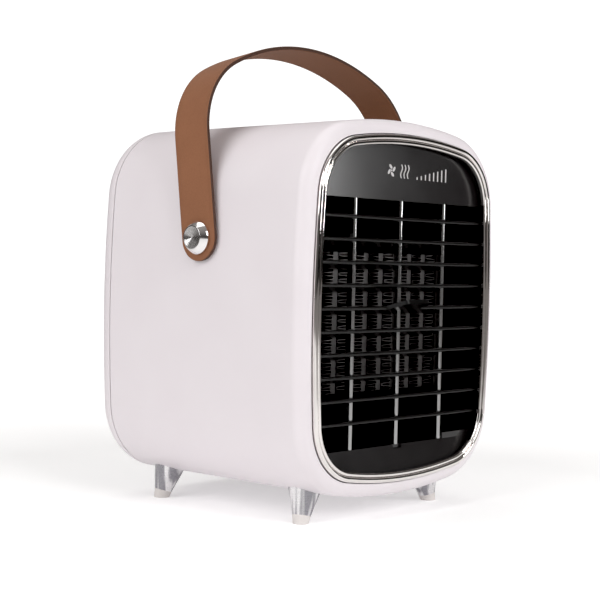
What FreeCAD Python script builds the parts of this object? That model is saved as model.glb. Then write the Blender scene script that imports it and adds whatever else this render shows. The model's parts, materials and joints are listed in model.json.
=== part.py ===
import FreeCAD, Part
import math
import os

# Portable ceramic fan heater: a bowed white casing on four splayed legs, a recessed black outlet
# with ten tilting louvers inside a bright ring, and a leather strap handle.
# Frame: millimetres, front faces -Y, +X to the right seen from the front, +Z up.
# The origin is on the floor, under the middle of the object's width and depth.

V = FreeCAD.Vector
PARTS_FOLDER = "parts"

# Casing
BODY_WIDTH = 143.6
BODY_HEIGHT = 171.0
FRONT_Y = -65.0
REAR_Y = 67.0
COVER_DEPTH = 9.5
GROUND_CLEARANCE = 10.0
CORNER_R = 34.8
SIDE_BOW_R = 720.0
TOP_BOW_R = 262.0
WALL = 2.8
FRONT_LIP = 3.0
FRONT_ROUND = 5.9
REAR_ROUND = 8.0
SEAM_GAP = 0.5
COVER_WALL = 2.6
COVER_LIP_DEPTH = 3.0
COVER_LIP_WALL = 1.7
SLIP = 0.15

# Bright ring and black front frame; insets are measured from the casing's outline
RING_INSET = 6.8
RING_FACE = 4.5
RING_PROUD = 1.7
RING_SEAT = 0.4
RING_OUTER_BEAD = 2.5
RING_INNER_DROP = 0.3
RING_GAP = 0.4
FRAME_WALL = 1.6
FRAME_INNER_INSET = 9.2
RECESS = 3.4
PANEL_THICKNESS = 2.0
PANEL_DROP = 36.5
SHELF_THICKNESS = 1.6
SILL_RISE = 23.0
SILL_FOOT_FORWARD = 2.6
SILL_STEP_INSET = 36.8
SILL_STEP_RISE = 2.7
SILL_NOTCH = (6.4, 1.8)
FRAME_DEPTH = 19.0

# Louvers
LOUVER_COUNT = 10
LOUVER_TOP_GAP = 9.0
LOUVER_BOTTOM_GAP = 11.42
LOUVER_PIVOT_DEPTH = 4.6
LOUVER_NOSE = 3.2
LOUVER_TAIL = 5.4
LOUVER_NOSE_THICKNESS = 1.8
LOUVER_TAIL_THICKNESS = 1.1
LOUVER_TILT = 18.0
LOUVER_END_GAP = 0.8
CHEEK_REACH = 3.2
CHEEK_PLAY = 0.15
CHEEK_THICKNESS = 0.8
PIVOT_R = 1.1
PIVOT_CLEARANCE = 0.06
TAB_LOUVER = 5
TAB_REACH = 9.3
TAB_ROOT_WIDTH = 25.0
TAB_TIP_WIDTH = 16.0
RIB_XS = (-33.0, 0.0, 33.0)
RIB_WIDTH = 2.4
RIB_WEB = 0.9
RIB_REAR_WIDTH = 1.4
RIB_DEPTH = 3.9
RIB_SET_BACK = 2.3
RIB_SIDE_GAP = 0.45
NOSE_STRIP = 1.2
CRANK_R = 4.2
CRANK_PIN_R = 0.8
LINK_INSET = 14.6
LINK_WIDTH = 2.0
LINK_DEPTH = 3.0
LINK_GAP = 0.6
LINK_END = 3.2

# Heater core and its frame
CORE_DROP = 38.5
CORE_HEIGHT = 63.5
CORE_SET_BACK = 15.0
CORE_DEPTH = 14.0
FIN_COLUMNS = 8
FIN_WIDTH = 7.5
FIN_PERIOD = 2.9
FIN_SHEET = 0.25
CERAMIC_WIDTH = 3.3
CORE_FRAME_WALL = 3.0
BAFFLE_THICKNESS = 2.0
BAFFLE_INSET = 8.0
PLATE_GAP = 0.2

# Fan
DUCT_WALL = 2.0
DUCT_DEPTH = 28.0
FAN_RING_R = 38.0
FAN_RING_LENGTH = 26.0
BLADE_TIP_GAP = 1.2
HUB_R = 13.0
HUB_LENGTH = 12.0
HUB_FRONT_GAP = 8.0
BLADE_COUNT = 7
BLADE_CHORD = 21.0
BLADE_THICKNESS = 1.6
BLADE_PITCH = 38.0
BLADE_EDGE_INSET = 0.4
SHAFT_R = 1.5
MOTOR_R = 13.5
MOTOR_LENGTH = 24.0
SPOKE_WIDTH = 5.0
SPOKE_THICKNESS = 2.0

# Strap handle
STRAP_WIDTH = 21.0
STRAP_THICKNESS = 1.8
STRAP_GAP = 0.3
STRAP_HEIGHT = 92.3
STRAP_SHOULDER_R = 38.0
STRAP_CROWN_R = 116.0
STRAP_PIVOT_Y = -3.9
STRAP_PIVOT_RISE = 29.9
STRAP_LEAN = 7.5
RIVET_HEAD_R = 7.5
RIVET_HEAD_HEIGHT = 3.9
RIVET_R = 3.0
RIVET_FACETS = 16
WASHER_R = 6.6
WASHER_PLAY = 0.15
SPOT_FACE_DEPTH = 0.35
NUT_THICKNESS = 3.5
NUT_R = 5.6

# Legs
LEG_INSET = 28.3
LEG_Y = 44.0
LEG_SPLAY_X = 3.8
LEG_SPLAY_Y = 1.3
LEG_SINK = 1.263
LEG_TOP_R = 7.5
LEG_END_R = 4.2
LEG_END_Z = 3.4
TIP_END_R = 3.6
TIP_STEM_R = 1.9
TIP_STEM_LENGTH = 3.4
LEG_SCREW_R = 2.0
LEG_SCREW_BITE = 5.6
LEG_BOSS_R = 6.0
LEG_BOSS_RISE = 5.263
LEG_SCREW_HEAD_R = 3.4
LEG_SCREW_HEAD = 2.0

# Rear cover fittings
GRILLE_R = 42.0
GRILLE_PITCH = 5.2
GRILLE_SLOT = 2.6
GRILLE_SPINE = 3.4
ROCKER_DROP = 27.5
ROCKER_WIDTH = 13.0
ROCKER_HEIGHT = 19.0
ROCKER_DEPTH = 14.0
ROCKER_FLANGE = 1.4
ROCKER_WALL = 1.4
ROCKER_GAP = 0.5
ROCKER_PIN_R = 1.2
GLAND_INSET = 33.8
GLAND_RISE = 23.0
GLAND_BORE_R = 3.4
GLAND_NECK_R = 5.4
GLAND_FLANGE_R = 7.6
GLAND_FLANGE = 2.6
GLAND_SLEEVE_R = 5.4
GLAND_INSIDE = 6.5
GLAND_NUT = 3.0

# Screws: shank radius, head radius, head height
FRAME_SCREW = (1.15, 2.2, 1.6)
BAFFLE_SCREW = (1.4, 2.6, 1.8)
CORE_SCREW = (1.2, 2.1, 1.6)
COVER_SCREW = (1.5, 2.9, 2.0)
MOTOR_SCREW = (1.2, 2.1, 1.6)
SCREW_PLAY = 0.05
HOLE_PLAY = 0.3
FRAME_BOSS_R = 2.4
COVER_BOSS_R = 3.6
COVER_BOSS_LENGTH = 18.0

# Worked out from the sizes above
HALF_W = BODY_WIDTH / 2
HALF_H = BODY_HEIGHT / 2
MID_Z = GROUND_CLEARANCE + HALF_H
TOP_Z = GROUND_CLEARANCE + BODY_HEIGHT
SEAM_Y = REAR_Y - COVER_DEPTH
LIP_BACK_Y = FRONT_Y + FRONT_LIP
RING_FRONT_Y = FRONT_Y - RING_PROUD
RING_BACK_Y = FRONT_Y + RING_SEAT
PANEL_Y = FRONT_Y + RECESS
FRAME_OUTER_INSET = FRAME_INNER_INSET - FRAME_WALL
FRAME_REAR_Y = FRONT_Y + FRAME_DEPTH
PANEL_BOTTOM_Z = TOP_Z - PANEL_DROP
SILL_TOP_Z = GROUND_CLEARANCE + SILL_RISE
SILL_STEP_X = HALF_W - SILL_STEP_INSET
LOUVER_TOP_Z = PANEL_BOTTOM_Z - LOUVER_TOP_GAP
LOUVER_PITCH = (LOUVER_TOP_Z - SILL_TOP_Z - LOUVER_BOTTOM_GAP) / (LOUVER_COUNT - 1)
LOUVER_PIVOT_Y = FRONT_Y + LOUVER_PIVOT_DEPTH
LINK_X = HALF_W - LINK_INSET
CORE_BOTTOM_Z = MID_Z - CORE_DROP
CORE_FRONT_Y = FRONT_Y + CORE_SET_BACK
CORE_WIDTH = FIN_COLUMNS * FIN_WIDTH + (FIN_COLUMNS - 1) * CERAMIC_WIDTH
CORE_MID_Z = CORE_BOTTOM_Z + CORE_HEIGHT / 2
CORE_BACK_Y = CORE_FRONT_Y + CORE_DEPTH
BAFFLE_BACK_Y = FRAME_REAR_Y + BAFFLE_THICKNESS
CORE_SCREW_OUT = PLATE_GAP + DUCT_WALL + CORE_SCREW[1] + 0.3
CORE_FLANGE = CORE_SCREW_OUT + CORE_SCREW[1] + 0.5
CORE_FLANGE_BACK_Y = BAFFLE_BACK_Y + BAFFLE_THICKNESS
DUCT_BACK_Y = CORE_FLANGE_BACK_Y + DUCT_DEPTH
FAN_RING_END_Y = DUCT_BACK_Y - DUCT_WALL + FAN_RING_LENGTH
MOTOR_FRONT_Y = FAN_RING_END_Y
SPIDER_FRONT_Y = FAN_RING_END_Y - SPOKE_THICKNESS
HUB_FRONT_Y = DUCT_BACK_Y - DUCT_WALL + HUB_FRONT_GAP
STRAP_X = HALF_W + STRAP_GAP + STRAP_THICKNESS / 2
STRAP_END_R = STRAP_WIDTH / 2
WASHER_FACE_X = HALF_W + STRAP_GAP - WASHER_PLAY
NUT_FACE_X = HALF_W - WALL - 2.0
INNER_COVER_Y = REAR_Y - COVER_WALL
STRAP_PIVOT_Z = MID_Z + STRAP_PIVOT_RISE
LEG_X = HALF_W - LEG_INSET
ROCKER_Z = TOP_Z - ROCKER_DROP
GLAND_X = HALF_W - GLAND_INSET
GLAND_Z = GROUND_CLEARANCE + GLAND_RISE


# Solids and transforms

def box(x0, x1, y0, y1, z0, z1):
    return Part.makeBox(x1 - x0, y1 - y0, z1 - z0, V(x0, y0, z0))


def rod(radius, start, end):
    """A cylinder between two points."""
    axis = end - start
    return Part.makeCylinder(radius, axis.Length, start, axis)


def y_rod(radius, x, z, y0, y1):
    return rod(radius, V(x, y0, z), V(x, y1, z))


def x_rod(radius, y, z, x0, x1):
    return rod(radius, V(x0, y, z), V(x1, y, z))


def prism(points, direction):
    """A polygon swept along a straight direction."""
    return Part.Face(Part.makePolygon(points + points[:1])).extrude(direction)


def fuse(*solids):
    joined = solids[0].multiFuse(list(solids[1:])) if len(solids) > 1 else solids[0]
    return joined.removeSplitter()


def mirror_x(shape):
    return shape.mirror(V(0, 0, 0), V(1, 0, 0))


def turned_about_x(shape, y, z, degrees):
    turned = shape.copy()
    turned.rotate(V(0, y, z), V(1, 0, 0), degrees)
    return turned


def edges_at_y(shape, y):
    """The edges that lie wholly in the plane at that depth."""
    return [e for e in shape.Edges if abs(e.BoundBox.YMin - y) < 0.01 and abs(e.BoundBox.YMax - y) < 0.01]


def hexagon(radius, x, z, y0, y1):
    corners = [math.radians(60 * k) for k in range(6)]
    points = [V(x + radius * math.cos(a), y0, z + radius * math.sin(a)) for a in corners]
    return prism(points, V(0, y1 - y0, 0))


# The casing's outline: four long bows joined by tangent corner arcs

def corner_centre():
    """Centre of the upper right corner arc, measured from the outline's middle."""
    side = (HALF_W - SIDE_BOW_R, 0.0)
    top = (0.0, HALF_H - TOP_BOW_R)
    to_side, to_top = SIDE_BOW_R - CORNER_R, TOP_BOW_R - CORNER_R
    span = math.dist(side, top)
    along = (to_side**2 - to_top**2 + span**2) / (2 * span)
    off = math.sqrt(to_side**2 - along**2)
    ux, uz = (top[0] - side[0]) / span, (top[1] - side[1]) / span
    choices = [(side[0] + along * ux + s * off * uz, side[1] + along * uz - s * off * ux) for s in (1, -1)]
    return max(choices)


CORNER_X, CORNER_Z = corner_centre()
SIDE_ANGLE = math.atan2(CORNER_Z, CORNER_X - (HALF_W - SIDE_BOW_R))
TOP_ANGLE = math.atan2(CORNER_Z - (HALF_H - TOP_BOW_R), CORNER_X)
DIAGONAL = (SIDE_ANGLE + TOP_ANGLE) / 2


def corner_point(inset, angle):
    """A point on the inset corner arc, measured from the outline's middle."""
    radius = CORNER_R - inset
    return CORNER_X + radius * math.cos(angle), CORNER_Z + radius * math.sin(angle)


def outline(inset, y):
    """The casing's outline as a face at depth y, moved inwards by inset."""
    side_x, side_z = corner_point(inset, SIDE_ANGLE)
    mid_x, mid_z = corner_point(inset, DIAGONAL)
    top_x, top_z = corner_point(inset, TOP_ANGLE)
    half_w, half_h = HALF_W - inset, HALF_H - inset
    stations = [
        (side_x, -side_z), (half_w, 0), (side_x, side_z), (mid_x, mid_z),
        (top_x, top_z), (0, half_h), (-top_x, top_z), (-mid_x, mid_z),
        (-side_x, side_z), (-half_w, 0), (-side_x, -side_z), (-mid_x, -mid_z),
        (-top_x, -top_z), (0, -half_h), (top_x, -top_z), (mid_x, -mid_z),
    ]
    points = [V(x, y, MID_Z + z) for x, z in stations]
    points.append(points[0])
    arcs = [Part.Arc(*points[k:k + 3]).toShape() for k in range(0, 16, 2)]
    return Part.Face(Part.Wire(arcs))


def slab(inset, y0, y1):
    return outline(inset, y0).extrude(V(0, y1 - y0, 0))


def band(outer_inset, inner_inset, y0, y1):
    """A closed band between two insets of the outline."""
    return slab(outer_inset, y0, y1).cut(slab(inner_inset, y0 - 1, y1 + 1))


def half_width_at(z, inset):
    height = abs(z - MID_Z)
    if height <= corner_point(inset, SIDE_ANGLE)[1]:
        return HALF_W - SIDE_BOW_R + math.sqrt((SIDE_BOW_R - inset) ** 2 - height**2)
    return CORNER_X + math.sqrt((CORNER_R - inset) ** 2 - (height - CORNER_Z) ** 2)


def floor_height_at(x, inset):
    """Height of the casing's underside at x, moved inwards by inset."""
    if abs(x) <= corner_point(inset, TOP_ANGLE)[0]:
        return MID_Z - (HALF_H - TOP_BOW_R) - math.sqrt((TOP_BOW_R - inset) ** 2 - x**2)
    return MID_Z - CORNER_Z - math.sqrt((CORNER_R - inset) ** 2 - (abs(x) - CORNER_X) ** 2)


def corner_spots(inset):
    """The four places on the corner diagonals at that inset, as x and z."""
    x, z = corner_point(inset, DIAGONAL)
    return [(sx * x, MID_Z + sz * z) for sx in (1, -1) for sz in (1, -1)]


def screw(sizes, x, z, seat_y, direction, length):
    """A cap screw along Y: its head sits on seat_y, its shank runs length the way of direction."""
    shank_r, head_r, head_height = sizes
    shank = y_rod(shank_r, x, z, seat_y, seat_y + direction * length)
    head = y_rod(head_r, x, z, seat_y, seat_y - direction * head_height)
    slot = box(x - head_r, x + head_r, -0.35, 0.35, z - 0.35, z + 0.35)
    slot.translate(V(0, seat_y - direction * head_height, 0))
    return fuse(shank, head).cut(slot)


# Casing

FRAME_SCREW_SPOTS = corner_spots(WALL + FRAME_BOSS_R - 0.2)
FRAME_EAR_THICKNESS = 2.0
FRAME_BOSS_END_Y = FRAME_REAR_Y - FRAME_EAR_THICKNESS
COVER_SPOTS = corner_spots(WALL + SLIP + COVER_BOSS_R)
COVER_BOSS_END_Y = SEAM_Y - COVER_LIP_DEPTH - 0.5
LEG_SIGNS = [(-1, -1), (1, -1), (-1, 1), (1, 1)]
UNDERSIDE_Z = floor_height_at(LEG_X, 0)
LEG_TOP_Z = UNDERSIDE_Z + LEG_SINK
LEG_BOSS_TOP_Z = UNDERSIDE_Z + LEG_BOSS_RISE


def leg_axis(sx, sy):
    """The leg's centre at its top, and the unit direction down along its axis."""
    top = V(sx * LEG_X, sy * LEG_Y, LEG_TOP_Z)
    down = V(sx * LEG_SPLAY_X, sy * LEG_SPLAY_Y, -LEG_TOP_Z)
    return top, down.normalize()


def along_leg(sx, sy, z):
    """The point on the leg's axis at height z."""
    top, down = leg_axis(sx, sy)
    return top + down * ((z - LEG_TOP_Z) / down.z)


def leg_reliefs():
    """Room around each leg's boss and screw head, for the pieces that stand above them."""
    return [
        rod(LEG_BOSS_R + HOLE_PLAY, along_leg(sx, sy, 0), along_leg(sx, sy, LEG_BOSS_TOP_Z + LEG_SCREW_HEAD + 0.5))
        for sx, sy in LEG_SIGNS
    ]


def body_shell():
    end_y = SEAM_Y - SEAM_GAP / 2
    outer = slab(0, FRONT_Y, end_y)
    outer = outer.makeFillet(FRONT_ROUND, edges_at_y(outer, FRONT_Y))
    cavity = slab(WALL, LIP_BACK_Y, end_y + 1)
    shell = outer.cut(cavity).cut(slab(RING_INSET - RING_GAP, FRONT_Y - 1, LIP_BACK_Y + 1))
    frame_bosses = [y_rod(FRAME_BOSS_R, x, z, LIP_BACK_Y - 0.5, FRAME_BOSS_END_Y) for x, z in FRAME_SCREW_SPOTS]
    cover_bosses = [
        y_rod(COVER_BOSS_R + 0.6, x, z, COVER_BOSS_END_Y - COVER_BOSS_LENGTH, COVER_BOSS_END_Y)
        for x, z in COVER_SPOTS
    ]
    leg_bosses = [
        rod(LEG_BOSS_R, along_leg(sx, sy, LEG_TOP_Z), along_leg(sx, sy, LEG_BOSS_TOP_Z))
        for sx, sy in LEG_SIGNS
    ]
    inside = slab(WALL / 2, FRONT_Y, end_y)
    pads = [
        x_rod(WASHER_R + 2.4, STRAP_PIVOT_Y, STRAP_PIVOT_Z, s * NUT_FACE_X, s * (HALF_W - 1.5)).common(inside)
        for s in (-1, 1)
    ]
    shell = fuse(shell, *frame_bosses, *cover_bosses, *[b.common(inside) for b in leg_bosses], *pads)
    cuts = [y_rod(FRAME_SCREW[0] + SCREW_PLAY, x, z, FRAME_BOSS_END_Y - 9, FRAME_BOSS_END_Y + 1)
            for x, z in FRAME_SCREW_SPOTS]
    cuts += [y_rod(COVER_SCREW[0] + SCREW_PLAY, x, z, COVER_BOSS_END_Y - 12, COVER_BOSS_END_Y + 1)
             for x, z in COVER_SPOTS]
    cuts += [rod(LEG_SCREW_R + SCREW_PLAY, along_leg(sx, sy, 0), along_leg(sx, sy, LEG_BOSS_TOP_Z + 2))
             for sx, sy in LEG_SIGNS]
    spot_x = half_width_at(STRAP_PIVOT_Z, 0) - SPOT_FACE_DEPTH
    for s in (-1, 1):
        cuts.append(x_rod(RIVET_R + SCREW_PLAY, STRAP_PIVOT_Y, STRAP_PIVOT_Z, s * (NUT_FACE_X - 1), s * HALF_W))
        cuts.append(x_rod(WASHER_R + 0.4, STRAP_PIVOT_Y, STRAP_PIVOT_Z, s * spot_x, s * (HALF_W + 1)))
    return shell.cut(Part.makeCompound(cuts)).removeSplitter()


def rear_cover():
    start_y = SEAM_Y + SEAM_GAP / 2
    outer = slab(0, start_y, REAR_Y)
    outer = outer.makeFillet(REAR_ROUND, edges_at_y(outer, REAR_Y))
    cavity = slab(WALL, start_y - 1, INNER_COVER_Y)
    cavity = cavity.makeFillet(REAR_ROUND - WALL, edges_at_y(cavity, INNER_COVER_Y))
    lip = band(WALL + SLIP, WALL + COVER_LIP_WALL, SEAM_Y - COVER_LIP_DEPTH, start_y + 0.5)
    lip_root = band(WALL - 0.2, WALL + COVER_LIP_WALL, start_y, start_y + 2)
    columns = [y_rod(COVER_BOSS_R, x, z, COVER_BOSS_END_Y, INNER_COVER_Y + 1) for x, z in COVER_SPOTS]
    cover = fuse(outer.cut(cavity), lip, lip_root, *columns)
    cuts = [y_rod(COVER_SCREW[0] + HOLE_PLAY, x, z, COVER_BOSS_END_Y - 1, REAR_Y + 1) for x, z in COVER_SPOTS]
    cuts += [y_rod(COVER_SCREW[1] + HOLE_PLAY, x, z, COVER_SCREW_SEAT_Y, REAR_Y + 1) for x, z in COVER_SPOTS]
    cuts += grille_slots()
    cuts.append(box(-ROCKER_WIDTH / 2, ROCKER_WIDTH / 2, INNER_COVER_Y - 1, REAR_Y + 1,
                    ROCKER_Z - ROCKER_HEIGHT / 2, ROCKER_Z + ROCKER_HEIGHT / 2))
    cuts.append(y_rod(GLAND_NECK_R, GLAND_X, GLAND_Z, INNER_COVER_Y - 1, REAR_Y + 1))
    return cover.cut(Part.makeCompound(cuts)).removeSplitter()


COVER_SCREW_SEAT_Y = INNER_COVER_Y - 2.0


def grille_slots():
    """Rows of round-ended slots inside a circle, split by a spine in the middle."""
    rows = int((GRILLE_R - GRILLE_SLOT) / GRILLE_PITCH)
    slots = []
    for row in range(-rows, rows + 1):
        z = CORE_MID_Z + row * GRILLE_PITCH
        if z + GRILLE_PITCH > ROCKER_Z - ROCKER_HEIGHT / 2:
            continue
        reach = math.sqrt(GRILLE_R**2 - (row * GRILLE_PITCH) ** 2)
        inner, outer = GRILLE_SPINE / 2 + GRILLE_SLOT / 2, reach - GRILLE_SLOT / 2
        for s in (-1, 1):
            slots.append(stadium(s * inner, s * outer, z, GRILLE_SLOT / 2, INNER_COVER_Y - 1, REAR_Y + 1))
    return slots


def stadium(x0, x1, z, radius, y0, y1):
    """A slot along X with round ends, its end centres at x0 and x1."""
    x0, x1 = min(x0, x1), max(x0, x1)
    low, high = z - radius, z + radius
    sides = [
        Part.LineSegment(V(x0, y0, low), V(x1, y0, low)),
        Part.Arc(V(x1, y0, low), V(x1 + radius, y0, z), V(x1, y0, high)),
        Part.LineSegment(V(x1, y0, high), V(x0, y0, high)),
        Part.Arc(V(x0, y0, high), V(x0 - radius, y0, z), V(x0, y0, low)),
    ]
    return Part.Face(Part.Wire([side.toShape() for side in sides])).extrude(V(0, y1 - y0, 0))


def rear_cover_screws():
    length = COVER_SCREW_SEAT_Y - COVER_BOSS_END_Y + 10
    return [screw(COVER_SCREW, x, z, COVER_SCREW_SEAT_Y, -1, length) for x, z in COVER_SPOTS]


# Ring and front frame

def chrome_ring():
    mid_inset = RING_INSET + RING_OUTER_BEAD
    inner_inset = RING_INSET + RING_FACE
    outer = band(RING_INSET, mid_inset, RING_FRONT_Y, RING_BACK_Y)
    outer = outer.makeFillet(RING_OUTER_BEAD * 0.42, edges_at_y(outer, RING_FRONT_Y))
    inner_y = RING_FRONT_Y + RING_INNER_DROP
    inner = band(mid_inset, inner_inset, inner_y, RING_BACK_Y)
    inner = inner.makeFillet((inner_inset - mid_inset) * 0.42, edges_at_y(inner, inner_y))
    return fuse(outer, inner)


def front_frame():
    flange = band(WALL + HOLE_PLAY, FRAME_INNER_INSET, LIP_BACK_Y, LIP_BACK_Y + 2)
    spigot = band(RING_INSET - RING_GAP / 2 + 0.1, FRAME_INNER_INSET, RING_BACK_Y, LIP_BACK_Y + 1)
    wall = band(FRAME_OUTER_INSET, FRAME_INNER_INSET, LIP_BACK_Y, FRAME_REAR_Y)
    within = slab(FRAME_OUTER_INSET + 0.4, RING_BACK_Y, FRAME_REAR_Y)
    panel = box(-HALF_W, HALF_W, PANEL_Y, PANEL_Y + PANEL_THICKNESS, PANEL_BOTTOM_Z, MID_Z + HALF_H)
    top_shelf = box(-HALF_W, HALF_W, PANEL_Y, FRAME_REAR_Y, PANEL_BOTTOM_Z, PANEL_BOTTOM_Z + SHELF_THICKNESS)
    sill_foot_z = MID_Z - HALF_H + FRAME_OUTER_INSET
    foot_y = PANEL_Y - SILL_FOOT_FORWARD
    sill = prism(
        [V(-HALF_W, foot_y, sill_foot_z), V(-HALF_W, PANEL_Y, SILL_TOP_Z),
         V(-HALF_W, FRAME_REAR_Y, SILL_TOP_Z), V(-HALF_W, FRAME_REAR_Y, SILL_TOP_Z - SHELF_THICKNESS),
         V(-HALF_W, PANEL_Y + PANEL_THICKNESS, SILL_TOP_Z - SHELF_THICKNESS),
         V(-HALF_W, foot_y + PANEL_THICKNESS, sill_foot_z)],
        V(BODY_WIDTH, 0, 0),
    )
    step = box(SILL_STEP_X, HALF_W, PANEL_Y, PANEL_Y + PANEL_THICKNESS,
               SILL_TOP_Z - SHELF_THICKNESS, SILL_TOP_Z + SILL_STEP_RISE)
    bosses = [y_rod(BAFFLE_BOSS_R, x, z, PANEL_Y + 0.5, FRAME_REAR_Y) for x, z in BAFFLE_SPOTS]
    ears = band(WALL + HOLE_PLAY, FRAME_INNER_INSET, FRAME_BOSS_END_Y, FRAME_REAR_Y)
    ears = ears.common(Part.makeCompound(
        [y_rod(FRAME_EAR_R, x, z, FRAME_BOSS_END_Y, FRAME_REAR_Y) for x, z in FRAME_SCREW_SPOTS]
    ))
    insides = [piece.common(within) for piece in (panel, top_shelf, sill, step)]
    frame = fuse(flange, spigot, wall, ears, *insides, *bosses)
    cuts = [y_rod(FRAME_BOSS_R + HOLE_PLAY, x, z, LIP_BACK_Y - 1, LIP_BACK_Y + 3) for x, z in FRAME_SCREW_SPOTS]
    cuts += [y_rod(FRAME_SCREW[0] + HOLE_PLAY, x, z, FRAME_BOSS_END_Y - 1, FRAME_REAR_Y + 1)
             for x, z in FRAME_SCREW_SPOTS]
    cuts += [y_rod(BAFFLE_SCREW[0] + SCREW_PLAY, x, z, FRAME_REAR_Y - 9, FRAME_REAR_Y + 1)
             for x, z in BAFFLE_SPOTS]
    cuts += [x_rod(PIVOT_R + PIVOT_CLEARANCE, LOUVER_PIVOT_Y, z, -HALF_W, HALF_W) for z in LOUVER_ZS]
    cuts += leg_reliefs()
    notch_width, notch_depth = SILL_NOTCH
    cuts.append(box(-notch_width / 2, notch_width / 2, PANEL_Y - 1, PANEL_Y + 1,
                    SILL_TOP_Z - notch_depth, SILL_TOP_Z + 1))
    return frame.cut(Part.makeCompound(cuts)).removeSplitter()


BAFFLE_BOSS_R = 2.8
BAFFLE_SPOTS = corner_spots(FRAME_INNER_INSET + BAFFLE_BOSS_R - 0.3)
FRAME_EAR_R = 4.2
LOUVER_ZS = [LOUVER_TOP_Z - k * LOUVER_PITCH for k in range(LOUVER_COUNT)]


def front_frame_screws():
    return [screw(FRAME_SCREW, x, z, FRAME_REAR_Y, -1, 10) for x, z in FRAME_SCREW_SPOTS]


def guard_ribs():
    """Upright ribs behind the louvers' noses: a round front bead, a thin web and a smaller rear bead."""
    front_y = LOUVER_PIVOT_Y - LOUVER_NOSE + RIB_SET_BACK
    ribs = []
    for x in RIB_XS:
        bead_back = front_y + RIB_WIDTH * 0.9
        bead = box(x - RIB_WIDTH / 2, x + RIB_WIDTH / 2, front_y, bead_back, SILL_TOP_Z, PANEL_BOTTOM_Z)
        bead = bead.makeFillet(RIB_WIDTH * 0.42, upright_edges_at_y(bead, front_y))
        rear_y = front_y + RIB_DEPTH
        web = box(x - RIB_WEB / 2, x + RIB_WEB / 2, bead_back - 0.1, rear_y, SILL_TOP_Z, PANEL_BOTTOM_Z)
        rear = box(x - RIB_REAR_WIDTH / 2, x + RIB_REAR_WIDTH / 2, rear_y - RIB_REAR_WIDTH, rear_y,
                   SILL_TOP_Z, PANEL_BOTTOM_Z)
        ribs.append(fuse(bead, web, rear))
    return ribs


def upright_edges_at_y(shape, y):
    return [e for e in edges_at_y(shape, y) if e.BoundBox.ZLength > 1]


# Louvers

LOUVER_MID = LOUVER_NOSE - LOUVER_NOSE_THICKNESS / 2
CRANK_Y = LOUVER_PIVOT_Y + CRANK_R * math.cos(math.radians(LOUVER_TILT))
CRANK_DROP = CRANK_R * math.sin(math.radians(LOUVER_TILT))
LINK_NOTCH_FRONT = 1.4
LINK_NOTCH_HALF = LINK_WIDTH / 2 + LINK_GAP
CRANK_EAR_R = 1.5
CRANK_EAR_WIDTH = 1.0


def louver_section(x, y, z):
    """The blade's section, level, with its pivot at y, z: a round nose and a tapered tail."""
    half_nose, half_tail = LOUVER_NOSE_THICKNESS / 2, LOUVER_TAIL_THICKNESS / 2
    low_nose, high_nose = V(x, y - LOUVER_MID, z - half_nose), V(x, y - LOUVER_MID, z + half_nose)
    low_tail, high_tail = V(x, y + LOUVER_TAIL, z - half_tail), V(x, y + LOUVER_TAIL, z + half_tail)
    sides = [
        Part.Arc(high_nose, V(x, y - LOUVER_NOSE, z), low_nose),
        Part.LineSegment(low_nose, low_tail),
        Part.LineSegment(low_tail, high_tail),
        Part.LineSegment(high_tail, high_nose),
    ]
    return Part.Face(Part.Wire([side.toShape() for side in sides]))


def louver(number):
    y, z = LOUVER_PIVOT_Y, LOUVER_ZS[number - 1]
    wall_x = half_width_at(z, FRAME_INNER_INSET)
    wall_x_by_cheek = min(half_width_at(z + s * CHEEK_REACH, FRAME_INNER_INSET) for s in (-1, 1))
    end_x = min(wall_x - LOUVER_END_GAP, wall_x_by_cheek - CHEEK_PLAY)
    blade = louver_section(-end_x, y, z).extrude(V(2 * end_x, 0, 0))
    pieces = [blade]
    for s in (-1, 1):
        pieces.append(x_rod(PIVOT_R, y, z, s * (end_x - 2), s * (wall_x + FRAME_WALL - 0.3)))
        pieces.append(end_cheek(s * end_x, -s * CHEEK_THICKNESS, y, z))
    ear_y = y + CRANK_R
    ear_xs = (LINK_X - LINK_NOTCH_HALF - CRANK_EAR_WIDTH, LINK_X + LINK_NOTCH_HALF)
    pieces += [x_rod(CRANK_EAR_R, ear_y, z, x, x + CRANK_EAR_WIDTH) for x in ear_xs]
    if number == TAB_LOUVER:
        pieces.append(finger_tab(y, z))
    solid = fuse(*pieces)
    rib_half = RIB_WIDTH / 2 + RIB_SIDE_GAP
    notch_front = y - LOUVER_NOSE + NOSE_STRIP
    cuts = [box(x - rib_half, x + rib_half, notch_front, y + LOUVER_TAIL + 1, z - 3, z + 3) for x in RIB_XS]
    cuts.append(box(LINK_X - LINK_NOTCH_HALF, LINK_X + LINK_NOTCH_HALF, y + LINK_NOTCH_FRONT,
                    ear_y + CRANK_EAR_R + 1, z - 3, z + 3))
    crank_pin = x_rod(CRANK_PIN_R, ear_y, z, ear_xs[0] + 0.2, ear_xs[1] + 0.8)
    solid = fuse(solid.cut(Part.makeCompound(cuts)), crank_pin)
    return turned_about_x(solid, y, z, -LOUVER_TILT)


def end_cheek(x, thickness, y, z):
    """An hourglass plate at the blade's end, around its pivot."""
    hourglass = [(-1.7, -2.7), (1.7, -2.7), (0.6, 0.0), (1.5, 2.3), (-0.7, 2.3), (-0.6, 0.0)]
    plate = prism([V(x, y + dy, z + dz) for dy, dz in hourglass], V(thickness, 0, 0))
    return fuse(plate, x_rod(1.6, y, z, x, x + thickness))


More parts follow.
